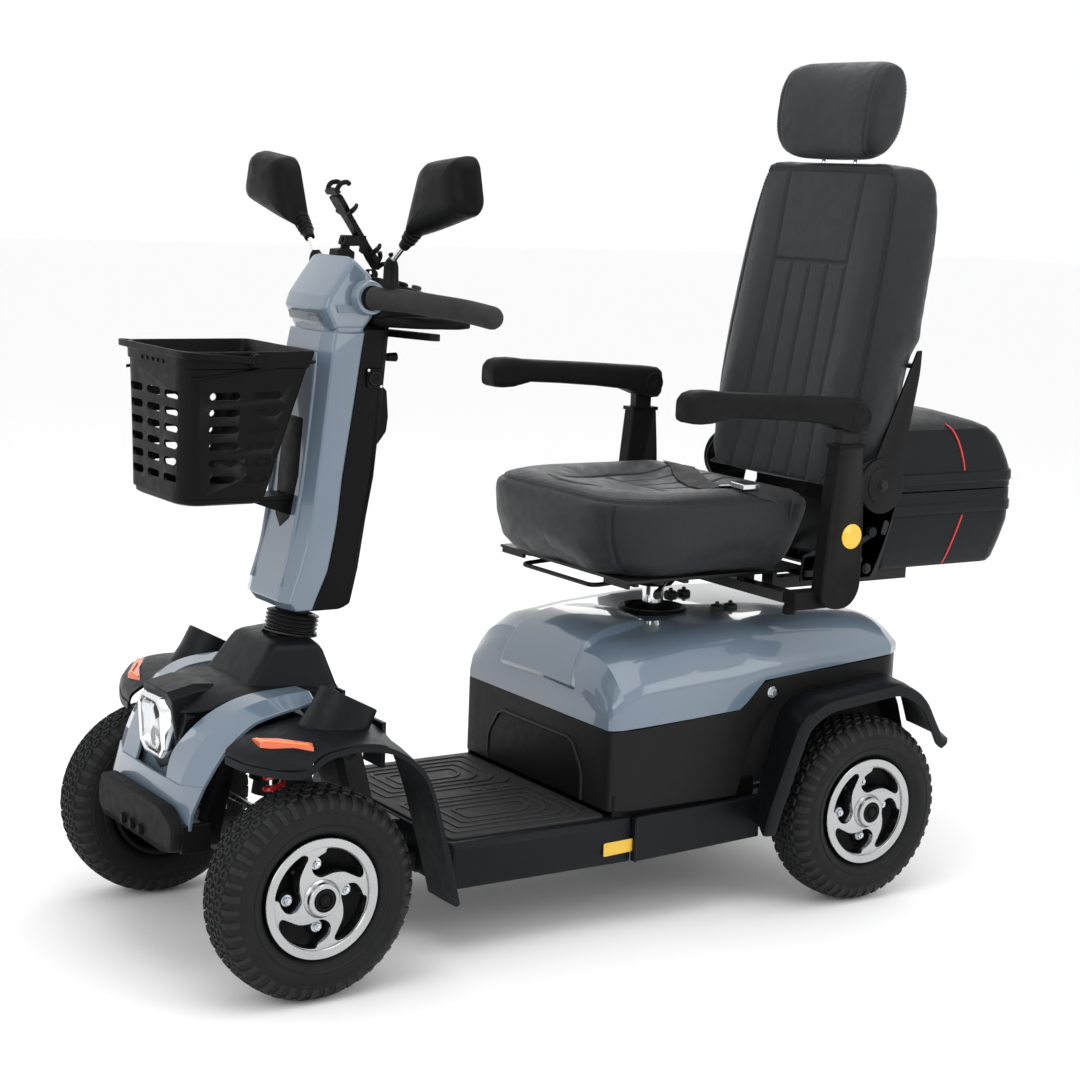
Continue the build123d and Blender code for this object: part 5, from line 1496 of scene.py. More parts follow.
def basket_piece():
    def ring(z, grow=0.0, round_by=16):
        t = (z - 728) / 235.0
        half = 106 + (121 - 106) * t + grow
        front = -812 + (-815 + 812) * t - grow
        rear = -684 + (-611 + 684) * t + grow
        points = [(-half, front + 3), (-half + 26, front - 10), (half - 26, front - 10), (half, front + 3),
                  (half, rear), (-half, rear)]
        return [(px, py, z) for px, py in fillet(points, round_by, 4)]
    outside = [ring(728, -8, 14), ring(731, -3), ring(738, -2.5), ring(739, 0.3), ring(800), ring(880),
               ring(936, 0.3),
               ring(938, 2.6), ring(955, 3), ring(961, 3), ring(963, 1.5)]
    inside = [ring(963, -1.2), ring(960, -3), ring(880, -3.2), ring(800, -3.2), ring(736, -4, 14),
              ring(732.5, -12, 14)]
    shape = Shape().loft(outside + inside)
    body = shape.piece("basket_shell", "tiller", BLACK, "black_plastic", ["basket"])
    slots = Shape()

    def capsule(length, tall):
        r = tall / 2
        return [(length / 2 - r + r * math.cos(a), r * math.sin(a)) for a in
                (-math.pi / 2 + math.pi * k / 6 for k in range(7))] + \
               [(-length / 2 + r + r * math.cos(a), r * math.sin(a)) for a in
                (math.pi / 2 + math.pi * k / 6 for k in range(7))]
    for row in range(6):
        z = 768 + 25.5 * row
        grow = 1 + 0.025 * row
        for cx in (-62, 0, 62):
            slots.slab([(cx * (0.97 + 0.02 * row) + u, z + v) for u, v in capsule(44 * grow, 12)], -850,
                       -790, "y")
        for k, (cy, length) in enumerate(((-758, 52), (-694, 50))):
            if row == 0:
                length *= 0.9
            cy += (row - 3) * (3.0 if k else 0.0)
            for side in (-1, 1):
                slots.slab([(cy + u * grow * length / 44.0 * 0.88, z + v) for u, v in capsule(44, 12)],
                           side * 96 if side > 0 else -140, 140 if side > 0 else -96, "x")
    cut(body, slots)
    body.data.set_sharp_from_angle(angle=math.radians(30))
    add_bevel(body, 0.9, 2, 40)
    # steps and pads moulded on the shell
    extras = Shape()
    for sign in (-1, 1):
        extras.spun((sign * 121, -715, 950), (sign, 0, 0),
                    [(0, 0.2), (0, 12.5), (5.5, 12), (7, 10.5), (7, 0.2)], 32)
        extras.spun((sign * 130, -715, 950), (sign, 0, 0),
                    [(6, 0.2), (6, 5.5), (8, 5), (8.6, 3), (8.6, 0.2)], 24)
        extras.loft([[(sign * (118.5 + 2.4 * t), -820 + 210 * t, 918 + 26 * t + 0 * t) for t in (0, 1)] +
                     [(sign * (118.5 + 2.4 * t), -820 + 210 * t, 924 + 26 * t) for t in (1, 0)],
                     [(sign * (121 + 2.4 * t), -818 + 206 * t, 920 + 26 * t) for t in (0, 1)] +
                     [(sign * (121 + 2.4 * t), -818 + 206 * t, 922 + 26 * t) for t in (1, 0)]])
    for k in range(5):
        extras.box(-42 + 20 * k, -36 + 20 * k, -829.5, -824, 940, 946)
    extras.piece("basket_details", "tiller", BLACK, "black_plastic", bevel=0.8, segments=2)
    lip = Shape()
    for px in (-70, 0, 70):
        lip.box(px - 2, px + 2, -806, -690, 731, 735)
    for py in (-780, -745, -712):
        lip.box(-96, 96, py - 2, py + 2, 731, 735)
    lip.piece("basket_floor_ribs", "tiller", BLACK, "black_plastic", bevel=0.6, segments=2)
    bail = Shape()
    rail = [(133.8, -715, 950), (134, -760, 954), (133, -806, 957), (128, -824, 958.5), (112, -830, 959),
            (60, -831, 959), (-60, -831, 959), (-112, -830, 959), (-128, -824, 958.5), (-133, -806, 957),
            (-134, -760, 954), (-133.8, -715, 950)]
    curve = spline(rail, 4)
    rings = []
    for i, p in enumerate(curve):
        run = (curve[min(i + 1, len(curve) - 1)] - curve[max(i - 1, 0)]).normalized()
        side_v = run.cross(Vector((0, 0, 1))).normalized()
        up = side_v.cross(run)
        thick, tall = (2.6, 5.2)
        rings.append([p + side_v * a * thick + up * b * tall for a,
                      b in ((-1, -1), (1, -1), (1, 1), (-1, 1))])
    bail.loft(rings)
    for sign in (-1, 1):
        bail.spun((sign * 130.6, -715, 950), (sign, 0, 0), [(0, 0.2), (0, 10.5), (6.2, 10.5), (6.2, 0.2)], 32)
    bail.piece("basket_bail", "basket_bail", BLACK, "black_plastic", ["basket_handle"], bevel=1.4, segments=3)
    bracket = Shape()
    rows = []
    for z in (648, 662, 690, 760, 850):
        y = -606 + 0.0 if z < 655 else {662: -603, 690: -598, 760: -591, 850: -582}[z]
        half = 34 if z == 648 else 41
        rows.append([(-half, y, z), (-half * 0.6, y - 3, z), (0, y - 4, z), (half * 0.6, y - 3, z),
                     (half, y, z)])
    bracket.sheet(rows, (0, 7, 0))
    bracket.box(-30, 30, -678, -598, 719.5, 726.5)
    bracket.loft([[(px, -672, 720), (px, -598, 720), (px, -600, 694)] for px in (-28, -22)])
    bracket.loft([[(px, -672, 720), (px, -598, 720), (px, -600, 694)] for px in (22, 28)])
    bracket.piece("basket_hanger", "tiller", BLACK, "black_plastic", ["basket_bracket"], bevel=2, segments=3)


basket_piece()


def mirror_pieces():
    def build():
        shape = Shape()
        face = [(176, 1138), (238, 1152), (352, 1178), (370, 1194), (354, 1252), (340, 1266), (236, 1254),
                (219, 1243)]
        face = [(178, 1140), (240, 1152), (356, 1180), (370, 1196), (354, 1254), (340, 1266), (238, 1256),
                (220, 1242)]
        front = fillet(face, [4, 30, 14, 12, 12, 14, 14, 30], 5)
        cx, cz = 300, 1212

        def ring(y, s, dx=0.0):
            return [(cx + dx + (px - cx) * s, y, cz + (pz - cz) * s) for px, pz in front]
        shape.loft([ring(-471.5, 0.95), ring(-470.2, 0.985), ring(-474, 1.0), ring(-482, 1.0),
                    ring(-496, 0.93),
                    ring(-506, 0.8), ring(-511, 0.6), ring(-513, 0.3)])
        shape.loft([ring(-471.8, 0.94), ring(-470.0, 0.94)], slot=1)
        shape.tube([(126, -486, 1064), (126, -486, 1092), (126.5, -486, 1100), (128, -485.8, 1106)],
                   [12.5, 11.6, 10, 6.5], 28)
        shape.tube([(127, -486, 1100), (182, -480, 1146)], 4.6, 16, slot=2)
        shape.tube([(157, -482.5, 1125.5), (176, -480.5, 1141), (196, -480, 1157), (212, -482, 1168)],
                   [8.5, 11, 12.5, 15], 24)
        for k in range(4):
            p = Vector((170 + 7 * k, -481.4, 1136.2 + 5.7 * k))
            run = Vector((7, 0.4, 5.7)).normalized()
            shape.spun(p, run, [(-1.2, 9.5 + k), (0, 12.2 + k * 0.8), (1.2, 9.5 + k)], 24)
        return shape
    left = build()
    left.piece("mirror_left_housing", "mirror_left", [BLACK, MIRRORGLASS, CHROME], "black_plastic",
               ["mirror_left"],
               angle=38)
    build().flipped().piece("mirror_right_housing", "mirror_right", [BLACK, MIRRORGLASS, CHROME],
                            "black_plastic",
                            ["mirror_right"], angle=38)


mirror_pieces()


def phone_holder():
    low, top = Vector((0, -440, 1084)), Vector((0, -522, 1200))
    run = (top - low).normalized()
    out = Vector((0, -run.z, run.y)) * -1
    side_v = Vector((1, 0, 0))

    def at(u, v, w):
        """u across, v up from the bottom, w towards the rider."""
        return low + side_v * u + run * v + out * w
    shape = Shape()
    spine = [(-13, 0), (13, 0), (15, 20), (11, 40), (11, 100), (16, 118), (16, 140), (-16, 140), (-16, 118),
             (-11, 100),
             (-11, 40), (-15, 20)]
    shape.loft([[at(u, v, w) for u, v in fillet(spine, 5, 2)] for w in (-4.5, 4.5)])
    for v, reach in ((30, 24), (106, 24)):
        for sign in (-1, 1):
            arm = [at(sign * 9, v, 0), at(sign * 17, v + 2, 0), at(sign * reach, v + 4, 1)]
            shape.tube(spline(arm, 4), 4.2, 12)
            hook = [at(sign * reach, v + 4, 1), at(sign * (reach - 0.5), v + 5, 10),
                    at(sign * (reach - 5), v + 6, 16)]
            shape.tube(spline(hook, 5), [4.2 - 0.12 * k for k in range(11)], 12)
    for sign in (-1, 1):
        hook = [at(sign * 18, 8, 2), at(sign * 19, 2, 12), at(sign * 19, 6, 22), at(sign * 18, 14, 25)]
        shape.tube(spline(hook, 5), 4, 12)
    for v in (14, 52, 90, 128):
        for sign in (-1, 1):
            shape.spun(at(sign * 8, v, 4.2), out, [(0, 0.2), (0, 3), (1.6, 2.4), (1.6, 0.2)], 14, slot=1)
    for sign in (-1, 1):
        shape.loft([[(sign * px, py, pz) for py, pz in
                     [(-508, 1122), (-504, 1136), (-488, 1136), (-468, 1136), (-466, 1120), (-500, 1119)]]
                    for px in (4.6, 10.8)])
    shape.tube([(-12.5, -500, 1128), (12.5, -500, 1128)], 5.5, 20)
    shape.piece("phone_cradle", "phone_mount", [BLACK, ZINC], "black_plastic", ["phone_mount"], bevel=0.9,
                segments=2,
                angle=35)
    base = Shape()
    base.loft([[(px, py, pz) for py, pz in [(-522, 1100), (-492, 1078), (-490, 1110), (-500, 1116),
                                            (-520, 1114)]]
               for px in (-15, 15)])
    base.tube([(-3.9, -500, 1128), (3.9, -500, 1128)], 8.4, 24)
    base.box(-3.9, 3.9, -507, -493, 1104, 1127)
    base.piece("phone_base", "tiller", BLACK, "black_plastic", bevel=1.4)
    jaw = Shape()
    for sign in (-1, 1):
        track = [at(sign * 9, 143.5, 0), at(sign * 15, 150, 2), at(sign * 17, 154, 12),
                 at(sign * 16, 150, 22),
                 at(sign * 14, 144, 25)]
        jaw.tube(spline(track, 5), 4.0, 12)
    jaw.loft([[at(u, v, w) for u, v in fillet([(-20, 142.5), (20, 142.5), (18, 152), (-18, 152)], 3,
                                              2)] for w in (-4, 4)])
    jaw.piece("phone_clamp", "phone_jaw", BLACK, "black_plastic", ["phone_jaw"], bevel=0.9, segments=2,
              angle=35)


phone_holder()


# ---------------------------------------------------------------- upholstery


def seam_distance(points, line, axes):
    """Each point's distance to a line of points, measured in the given two or three axes."""
    flat = points[:, axes]
    best = np.full(len(points), 1e9)
    for a, b in zip(line, line[1:]):
        a, b = np.array(a, float), np.array(b, float)
        run = b - a
        t = np.clip(((flat - a) @ run) / max(run @ run, 1e-9), 0, 1)
        best = np.minimum(best, np.linalg.norm(flat - a - t[:, None] * run, axis=1))
    return best


def upholster(obj, seams, voxel=5.0, pressure=4.0, cap=9.0, frames=18, depth=4.2, width=4.2):
    """Remeshes a soft form, swells it by cloth simulation between its sewn seams, and sinks the seams."""
    remesh = obj.modifiers.new("remesh", "REMESH")
    remesh.mode = "VOXEL"
    remesh.voxel_size = voxel * MM
    applied(obj)
    data = obj.data
    count = len(data.vertices)

    def coordinates():
        values = np.empty(count * 3)
        data.vertices.foreach_get("co", values)
        return values.reshape(-1, 3) / MM

    start = coordinates()
    pull = np.zeros(count)
    for line, axes, keep, strength in seams:
        near = seam_distance(start, line, axes)
        mask = np.array([keep(*p) for p in start])
        pull = np.maximum(pull, strength * np.exp(-(near / (voxel * 1.0)) ** 2) * mask)
    group = obj.vertex_groups.new(name="sewn")
    for i in np.nonzero(pull > 0.25)[0]:
        group.add([int(i)], min(1.0, float(pull[i])), "REPLACE")
    cloth = obj.modifiers.new("swell", "CLOTH")
    settings = cloth.settings
    settings.quality = 4
    settings.mass = 0.25
    settings.use_pressure = True
    settings.uniform_pressure_force = pressure
    settings.tension_stiffness = 18
    settings.compression_stiffness = 18
    settings.bending_stiffness = 0.4
    settings.effector_weights.gravity = 0
    settings.vertex_group_mass = "sewn"
    cloth.point_cache.frame_start = 1
    cloth.point_cache.frame_end = frames
    scene = bpy.context.scene
    for frame_number in range(1, frames + 1):
        scene.frame_set(frame_number)
    graph = bpy.context.evaluated_depsgraph_get()
    swollen = bpy.data.meshes.new_from_object(obj.evaluated_get(graph))
    values = np.empty(count * 3)
    swollen.vertices.foreach_get("co", values)
    moved = values.reshape(-1, 3) / MM - start
    length = np.linalg.norm(moved, axis=1)
    factor = np.minimum(1.0, cap / np.maximum(length, 1e-6))
    data.vertices.foreach_set("co", ((start + moved * factor[:, None]) * MM).ravel())
    bpy.data.meshes.remove(swollen)
    obj.modifiers.remove(cloth)
    obj.vertex_groups.clear()
    scene.frame_set(1)
    smooth = obj.modifiers.new("relax", "SMOOTH")
    smooth.factor = 0.5
    smooth.iterations = 6
    more = obj.modifiers.new("finer", "SUBSURF")
    more.levels = more.render_levels = 1
    applied(obj)
    data = obj.data
    count = len(data.vertices)
    values = np.empty(count * 3)
    data.vertices.foreach_get("co", values)
    place = values.reshape(-1, 3) / MM
    normals = np.empty(count * 3)
    data.vertex_normals.foreach_get("vector", normals)
    normals = normals.reshape(-1, 3)
    sink = np.zeros(count)
    for line, axes, keep, strength in seams:
        near = seam_distance(place, line, axes)
        mask = np.array([keep(*p) for p in place])
        sink = np.maximum(sink, mask * strength * (np.exp(-(near / width) ** 2) - 0.3 * np.exp(-((near - 10) / 6) ** 2)))
    place -= normals * (sink * depth)[:, None]
    data.vertices.foreach_set("co", (place * MM).ravel())
    for face in data.polygons:
        face.use_smooth = True
    return obj


def stitches(name, obj, runs, body, pitch=6.4, length=4.2):
    """Rows of thread along runs of points, dropped on to the piece along each run's direction."""
    graph = bpy.context.evaluated_depsgraph_get()
    bpy.context.view_layer.update()
    tree = BVHTree.FromObject(obj, graph)
    shape = Shape()
    for line, direction in runs:
        direction = Vector(direction).normalized()
        pts = [Vector(p) for p in line]
        walk = 0.0
        spots = []
        for a, b in zip(pts, pts[1:]):
            span = (b - a).length
            while walk < span:
                spots.append((a.lerp(b, walk / span), (b - a).normalized()))
                walk += pitch
            walk -= span
        for spot, run in spots:
            ends = []
            for shift in (-length / 2, length / 2):
                ray = (spot + run * shift - direction * 90) * MM
                hit, normal, _, _ = tree.ray_cast(ray, direction, 0.2)
                if hit is None:
                    break
                ends.append((hit / MM, normal))
            if len(ends) == 2 and (ends[0][0] - ends[1][0]).length < length * 1.8:
                (p, n), (q, m) = ends
                mid = (p + q) / 2 + (n + m) / 2 * 0.55
                shape.tube([p - n * 0.3, p.lerp(mid, 0.6) + n * 0.1, mid, q.lerp(mid, 0.6) + m * 0.1,
                            q - m * 0.3],
                           [0.35, 0.5, 0.55, 0.5, 0.35], 6)
    return shape.piece(name, body, THREAD, "seat_leather", angle=80)


def seat_outline(half, nose, front, rear, z, inset=0.0):
    points = [(-nose, front), (nose, front), (half, front + 80), (half, rear), (-half, rear),
              (-half, front + 80)]
    made = fillet(points, [46, 46, 60, 34, 34, 60], 6)
    return [(px * (1 - inset / 240), 105 + (py - 105) * (1 - inset / 210), z) for px, py in made]


def seat_cushion():
    rings = [
        seat_outline(206, 140, -74, 262, 586, 24), seat_outline(210, 146, -80, 266, 587),
        seat_outline(224, 164, -92, 276, 606), seat_outline(233, 175, -100, 288, 650),
        seat_outline(235, 177, -102, 302, 690), seat_outline(234, 176, -101, 306, 705),
        seat_outline(233, 175, -99, 306, 715, 10), seat_outline(232, 174, -97, 304, 724, 32),
        seat_outline(232, 174, -97, 300, 725, 62), seat_outline(232, 174, -97, 298, 716, 92),
        seat_outline(232, 174, -97, 296, 710, 130), seat_outline(232, 174, -97, 292, 709, 190),
    ]
    base = Shape().loft(rings).piece("seat_cushion_cover", "seat", LEATHER, "seat_leather", ["seat_cushion"])
    outer = [(px, py) for px, py, _ in seat_outline(234, 176, -101, 306, 0, 7)]
    outer.append(outer[0])
    band = [(px, py, 714) for px, py in outer]
    top = lambda px, py, pz: pz > 690
    panel = [(-112, 286), (-112, 120), (-100, 10), (-78, -40), (-30, -58), (30, -58), (78, -40), (100, 10),
             (112, 120),
             (112, 286)]
    seams = [
        ([(p[0], p[1], p[2]) for p in band], [0, 1, 2], lambda *p: True, 1.0),
        (panel, [0, 1], top, 0.9),
        ([(-96, 96), (96, 96)], [0, 1], top, 0.6),
    ]
    for px in (-56, 0, 56):
        seams.append(([(px * 0.92, 96), (px, 286)], [0, 1], top, 0.6))
    for px in (-1, 1):
        seams.append(([(px * 178, 590), (px * 180, 704)], [0, 2], lambda x, y, z: z < 708 and y < -40, 0.8))
    cushion = upholster(base, seams, pressure=4.2, cap=7)
    inner = [((px * 0.975), 105 + (py - 105) * 0.972, 0) for px, py in outer]
    rows = [(inner, (0, 0, -1))]
    rows.append(([((px * 0.955), 105 + (py - 105) * 0.95, 0) for px, py in outer], (0, 0, -1)))
    stitches("seat_stitching", cushion, [([(p[0], p[1], 700) for p in line], direction)
                                                 for line, direction in rows], "seat")
    return cushion


def back_y(z):
    return 384 + (z - 723) * 0.188


def back_section(z, half, depth, dish=0.0, wing=0.0, step=0.0):
    y = back_y(z)
    centre = y + dish
    right = [(0, centre), (70, centre), (104, centre - 1 - wing * 0.3), (146, y - wing),
             (176, y + 1 - wing * 0.4),
             (half - 38, y + 10), (half - 14, y + 30), (half - 2 - step * 0.5, y + 50),
             (half - step, y + depth * 0.76),
             (half - 5 - step, y + depth * 0.94), (half - 24 - step, y + depth), (60, y + depth + 2)]
    left = [(-px, py) for px, py in right[:0:-1]]
    return [(px, py, z) for px, py in right + left]


def seat_back():
    levels = [
        (717, 150, 50, 4, 0, 0), (720, 166, 68, 3, 0, 0), (736, 186, 84, 3, 2, 0), (770, 210, 98, 4, 6, 0),
        (830, 230, 108, 6, 12, 10), (900, 235, 111, 6, 13, 17), (950, 236, 110, 5, 9, 14),
        (978, 237, 108, 5, 6, 0),
        (1010, 237, 106, 4, 5, 0), (1100, 237, 101, 3, 2, 0), (1180, 234, 92, 2, 0, 0),
        (1240, 226, 80, 1, 0, 0),
        (1266, 216, 68, 1, 0, 0), (1280, 202, 54, 2, 0, 0), (1285, 178, 40, 6, 0, 0),
    ]
    rings = [back_section(*row) for row in levels]
    rings = ring_spline(rings, 2)
    base = Shape().loft(rings).piece("seat_back_cover", "backrest", LEATHER, "seat_leather", ["back_cushion"])

    def front(px, py, pz):
        return py < back_y(pz) + 42
    edge = []
    shape_line = [(-158, 727), (-176, 760), (-190, 830), (-194, 930), (-192, 1080), (-186, 1200),
                  (-178, 1254),
                  (-166, 1268), (-140, 1273), (0, 1275), (140, 1273), (166, 1268), (178, 1254), (186, 1200),
                  (192, 1080),
                  (194, 930), (190, 830), (176, 760), (158, 727)]
    edge = [(p.x, p.y) for p in spline([(u, v, 0) for u, v in shape_line], 4)]
    seams = [(edge, [0, 2], front, 1.0), ([(-107, 727), (-104, 830), (-101, 1108), (-104, 1272)], [0, 2],
                                          front, 0.8),
             ([(107, 727), (104, 830), (101, 1108), (104, 1272)], [0, 2], front, 0.8),
             ([(-101, 1108), (101, 1108)], [0, 2], front, 1.0)]
    for px in (-50, 0, 50):
        seams.append(([(px * 1.05, 727), (px, 1108)], [0, 2], front, 0.75))
    pad = upholster(base, seams, pressure=3.0, cap=6, frames=14)
    runs = []
    for shrink in (0.972, 1.028):
        line = [(u * shrink, back_y(v), 1000 + (v - 1000) * (0.985 if shrink < 1 else 1.012)) for u,
                v in edge]
        runs.append((line, (0, 1, -0.05)))
    stitches("back_stitching", pad, runs, "backrest")
    return pad


def head_rest():
    stations = [(-139, 0.46, 0.50), (-137, 0.70, 0.74), (-132, 0.87, 0.89), (-122, 0.94, 0.94),
                (-100, 0.99, 0.99),
                (-50, 1, 1), (0, 1, 1.0), (50, 1, 1), (100, 0.99, 0.99), (122, 0.94, 0.94), (132, 0.87, 0.89),
                (137, 0.70, 0.74), (139, 0.46, 0.50)]
    rings = []
    for px, ky, kz in stations:
        ring = []
        for k in range(36):
            a = 2 * math.pi * k / 36
            c, s = math.cos(a), math.sin(a)
            v = 88 * kz * math.copysign(abs(s) ** (2 / 2.7), s)
            u = 44 * ky * math.copysign(abs(c) ** (2 / 2.5), c)
            z = 1380 + v
            wrap = -12 * (abs(px) / 138) ** 2
            ring.append((px * (1.0 - 0.13 * max(0.0, (4 - v) / 90) ** 2), 519 + u + wrap + 0.12 * v, z))
        rings.append(ring)
    base = Shape().loft(rings).piece("headrest_cover", "headrest", LEATHER, "seat_leather", ["headrest"])

    def oval(sign):
        line = []
        for k in range(33):
            a = 2 * math.pi * k / 32
            v = 81 * math.sin(a)
            half = 121 * (1.0 - 0.13 * max(0.0, (4 - v) / 90) ** 2)
            line.append((sign * half, 509 + 43 * math.cos(a) + 0.12 * v, 1380 + v))
        return line
    seams = [(oval(1), [0, 1, 2], lambda *p: True, 1.0), (oval(-1), [0, 1, 2], lambda *p: True, 1.0)]
    pad = upholster(base, seams, pressure=4.0, cap=5, depth=2.0)
    runs = []
    for sign in (-1, 1):
        line = [(p[0], p[1] * 0.93 + 509 * 0.07, 1380 + (p[2] - 1380) * 0.93) for p in oval(sign)]
        runs.append((line, (-sign, 0, 0)))
    stitches("headrest_stitching", pad, runs, "headrest")
    stalks = Shape()
    for px in (-44, 44):
        stalks.tube([(px, 515, 1278), (px, 521, 1312)], 5.5, 16)
    stalks.piece("headrest_stalks", "headrest", CHROME, "chrome")


def arm_pads():
    stations = [
        (-39, 868, 892, 20), (-37, 860, 900, 23), (-30, 857, 906, 25), (-16, 856, 909.5, 26),
        (6, 857, 910, 26),
        (24, 861, 908.5, 26), (44, 865.5, 906, 26), (110, 862, 902.5, 26), (190, 856, 898.5, 26),
        (262, 848, 894, 26),
        (296, 836, 892, 26), (318, 831, 890.5, 26), (334, 832, 889, 26), (341, 838, 885, 24),
        (343, 846, 878, 21),
    ]

    def build(name, body, node, sign):
        rings = []
        for py, low, top, half in stations:
            section = [(300 - half, low), (300 + half, low), (300 + half, top), (300 - half, top)]
            rings.append([(sign * px, py, pz) for px, pz in fillet(section, [9, 9, 15, 15], 5)])
        shape = Shape().loft(rings)
        pad = shape.piece(name, body, TEXTURED, "rubber", [node], angle=60)
        cut(pad, Shape().box(*sorted((sign * 288, sign * 312)), 284, 350, 812, 861))
        cut(pad, Shape().box(*sorted((sign * 281, sign * 319)), 264, 350, 812, 836.2))
        pad.data.set_sharp_from_angle(angle=math.radians(42))
        trim = Shape()
        for side in (-1, 1):
            trim.spun((sign * 300 + side * 25.6, 322, 860), (side, 0, 0),
                      [(-2, 0.2), (-2, 20), (0.6, 20), (1.6, 18.5), (1.2, 16), (1.2, 0.2)], 40)
        trim.piece(name + "_pivot_cap", body, TEXTURED, "rubber", angle=35)
        return pad
    left = build("arm_pad_left_skin", "arm_pad_left", "armrest_pad_left", 1)
    right = build("arm_pad_right_skin", "arm_pad_right", "armrest_pad_right", -1)


def arm_posts():
    outline = fillet([(262, 540), (296, 527), (330, 532), (349, 560), (347, 700), (337, 812), (284, 812),
                      (273, 700)],
                     [18, 30, 26, 30, 60, 5, 5, 60], 6)
    for sign, label in ((1, "left"), (-1, "right")):
        body = "arm_" + label
        shape = Shape()
        shape.loft([[(sign * px, py, pz) for py, pz in outline] for px in (284, 316)])
        shape.box(*sorted((sign * 267, sign * 300)), 219.5, 330, 529, 561)
        shape.piece("arm_sleeve_" + label, body, TEXTURED, "black_plastic", ["armrest_post_" + label],
                    bevel=4.5,
                           segments=4, angle=35)
        inner = Shape()
        inner.box(*sorted((sign * 291, sign * 309)), 292, 328, 800, 838)
        inner.tube([(sign * 291, 322, 846), (sign * 309, 322, 846)], 10, 28)
        inner.tube([(sign * 281.5, 322, 846), (sign * 318.5, 322, 846)], 4.9, 20, slot=1)
        inner.tube([(sign * 198, 237, 546), (sign * 276, 237, 546)], 0.5, 4)
        inner.box(*sorted((sign * 196, sign * 276)), 225.2, 248.8, 540.2, 551.8)
        inner.piece("arm_inner_" + label, body, [STEELBLACK, ZINC], "black_plastic", bevel=1.2, segments=2)
        trim = Shape()
        trim.box(*sorted((sign * 282.5, sign * 317.5)), 281, 340, 806, 813)
        trim.piece("arm_sleeve_cap_" + label, body, BLACK, "black_plastic", bevel=1.5)
        disc = Shape()
        disc.spun((sign * 316, 321, 655), (sign, 0, 0),
                  [(-1, 0.2), (-1, 21.5), (1.2, 21.5), (2.2, 20), (2.4, 0.2)], 48)
        disc.piece("arm_reflector_" + label, body, YELLOWROUND, "amber", angle=40)
        wheel = Shape()
        wheel.spun((sign * 263, 237, 530), (0, 0, -1),
                   [(-6, 0.2), (-6, 5), (0, 5), (0, 11), (12, 12), (13, 10), (13, 0.2)], 24)
        wheel.piece("arm_clamp_knob_" + label, "seat", BLACK, "black_plastic", bevel=0.8, segments=2)


CUSHION = seat_cushion()
seat_back()
head_rest()
arm_pads()
arm_posts()


def belt(cushion):
    """The lap belt lying on the cushion, with its bright buckle."""
    bpy.context.view_layer.update()
    tree = BVHTree.FromObject(cushion, bpy.context.evaluated_depsgraph_get())

    def draped(px, py, lift=1.4):
        hit = tree.ray_cast(Vector((px, py, 900)) * MM, Vector((0, 0, -1)))[0]
        return Vector((px, py, (hit.z / MM if hit is not None else 700) + lift))

    def strap(path, width):
        rows = []
        for i, p in enumerate(path):
            run = (path[min(i + 1, len(path) - 1)] - path[max(i - 1, 0)]).normalized()
            across = Vector((-run.y, run.x, 0)).normalized() * width / 2
            rows.append([draped(*(p + across * k).xy) for k in (-1, -0.5, 0, 0.5, 1)])
        return rows
    shape = Shape()
    shape.sheet(strap(spline([(-150, 286, 0), (-90, 258, 0), (-10, 214, 0), (70, 188, 0), (150, 183, 0)], 6),
                      44),
                (0, 0, 1.6))
    shape.sheet(strap(spline([(196, 184, 0), (208, 200, 0), (216, 236, 0), (217, 276, 0)], 6), 34),
                (0, 0, 1.6))
    shape.piece("lap_belt", "seat", WEBBING, "seat_leather", angle=50)
    tongue = Shape()
    spot = draped(172, 183, 3.0)
    tip = draped(196, 184, 3.0)
    tongue.loft([[(spot.x - 24, 183 + u, draped(148, 183 + u, 3.4).z + h) for u, h in
                  ((-23, 0), (23, 0), (23, 3), (-23, 3))],
                 [(spot.x + 2, 183 + u, spot.z + 1 + h) for u, h in ((-21, 0), (21, 0), (21, 3), (-21, 3))]])
    tongue.loft([[(spot.x + 2, 183 + u, spot.z + 1 + h) for u, h in ((-18, -1), (18, -1), (18, 9), (-18, 9))],
                 [(tip.x + 14, 183 + u, tip.z + 1 + h) for u, h in ((-17, -1), (17, -1), (17, 8), (-17, 8))]])
    tongue.piece("belt_buckle", "seat", CHROME, "chrome", bevel=1.6, segments=3)


belt(CUSHION)


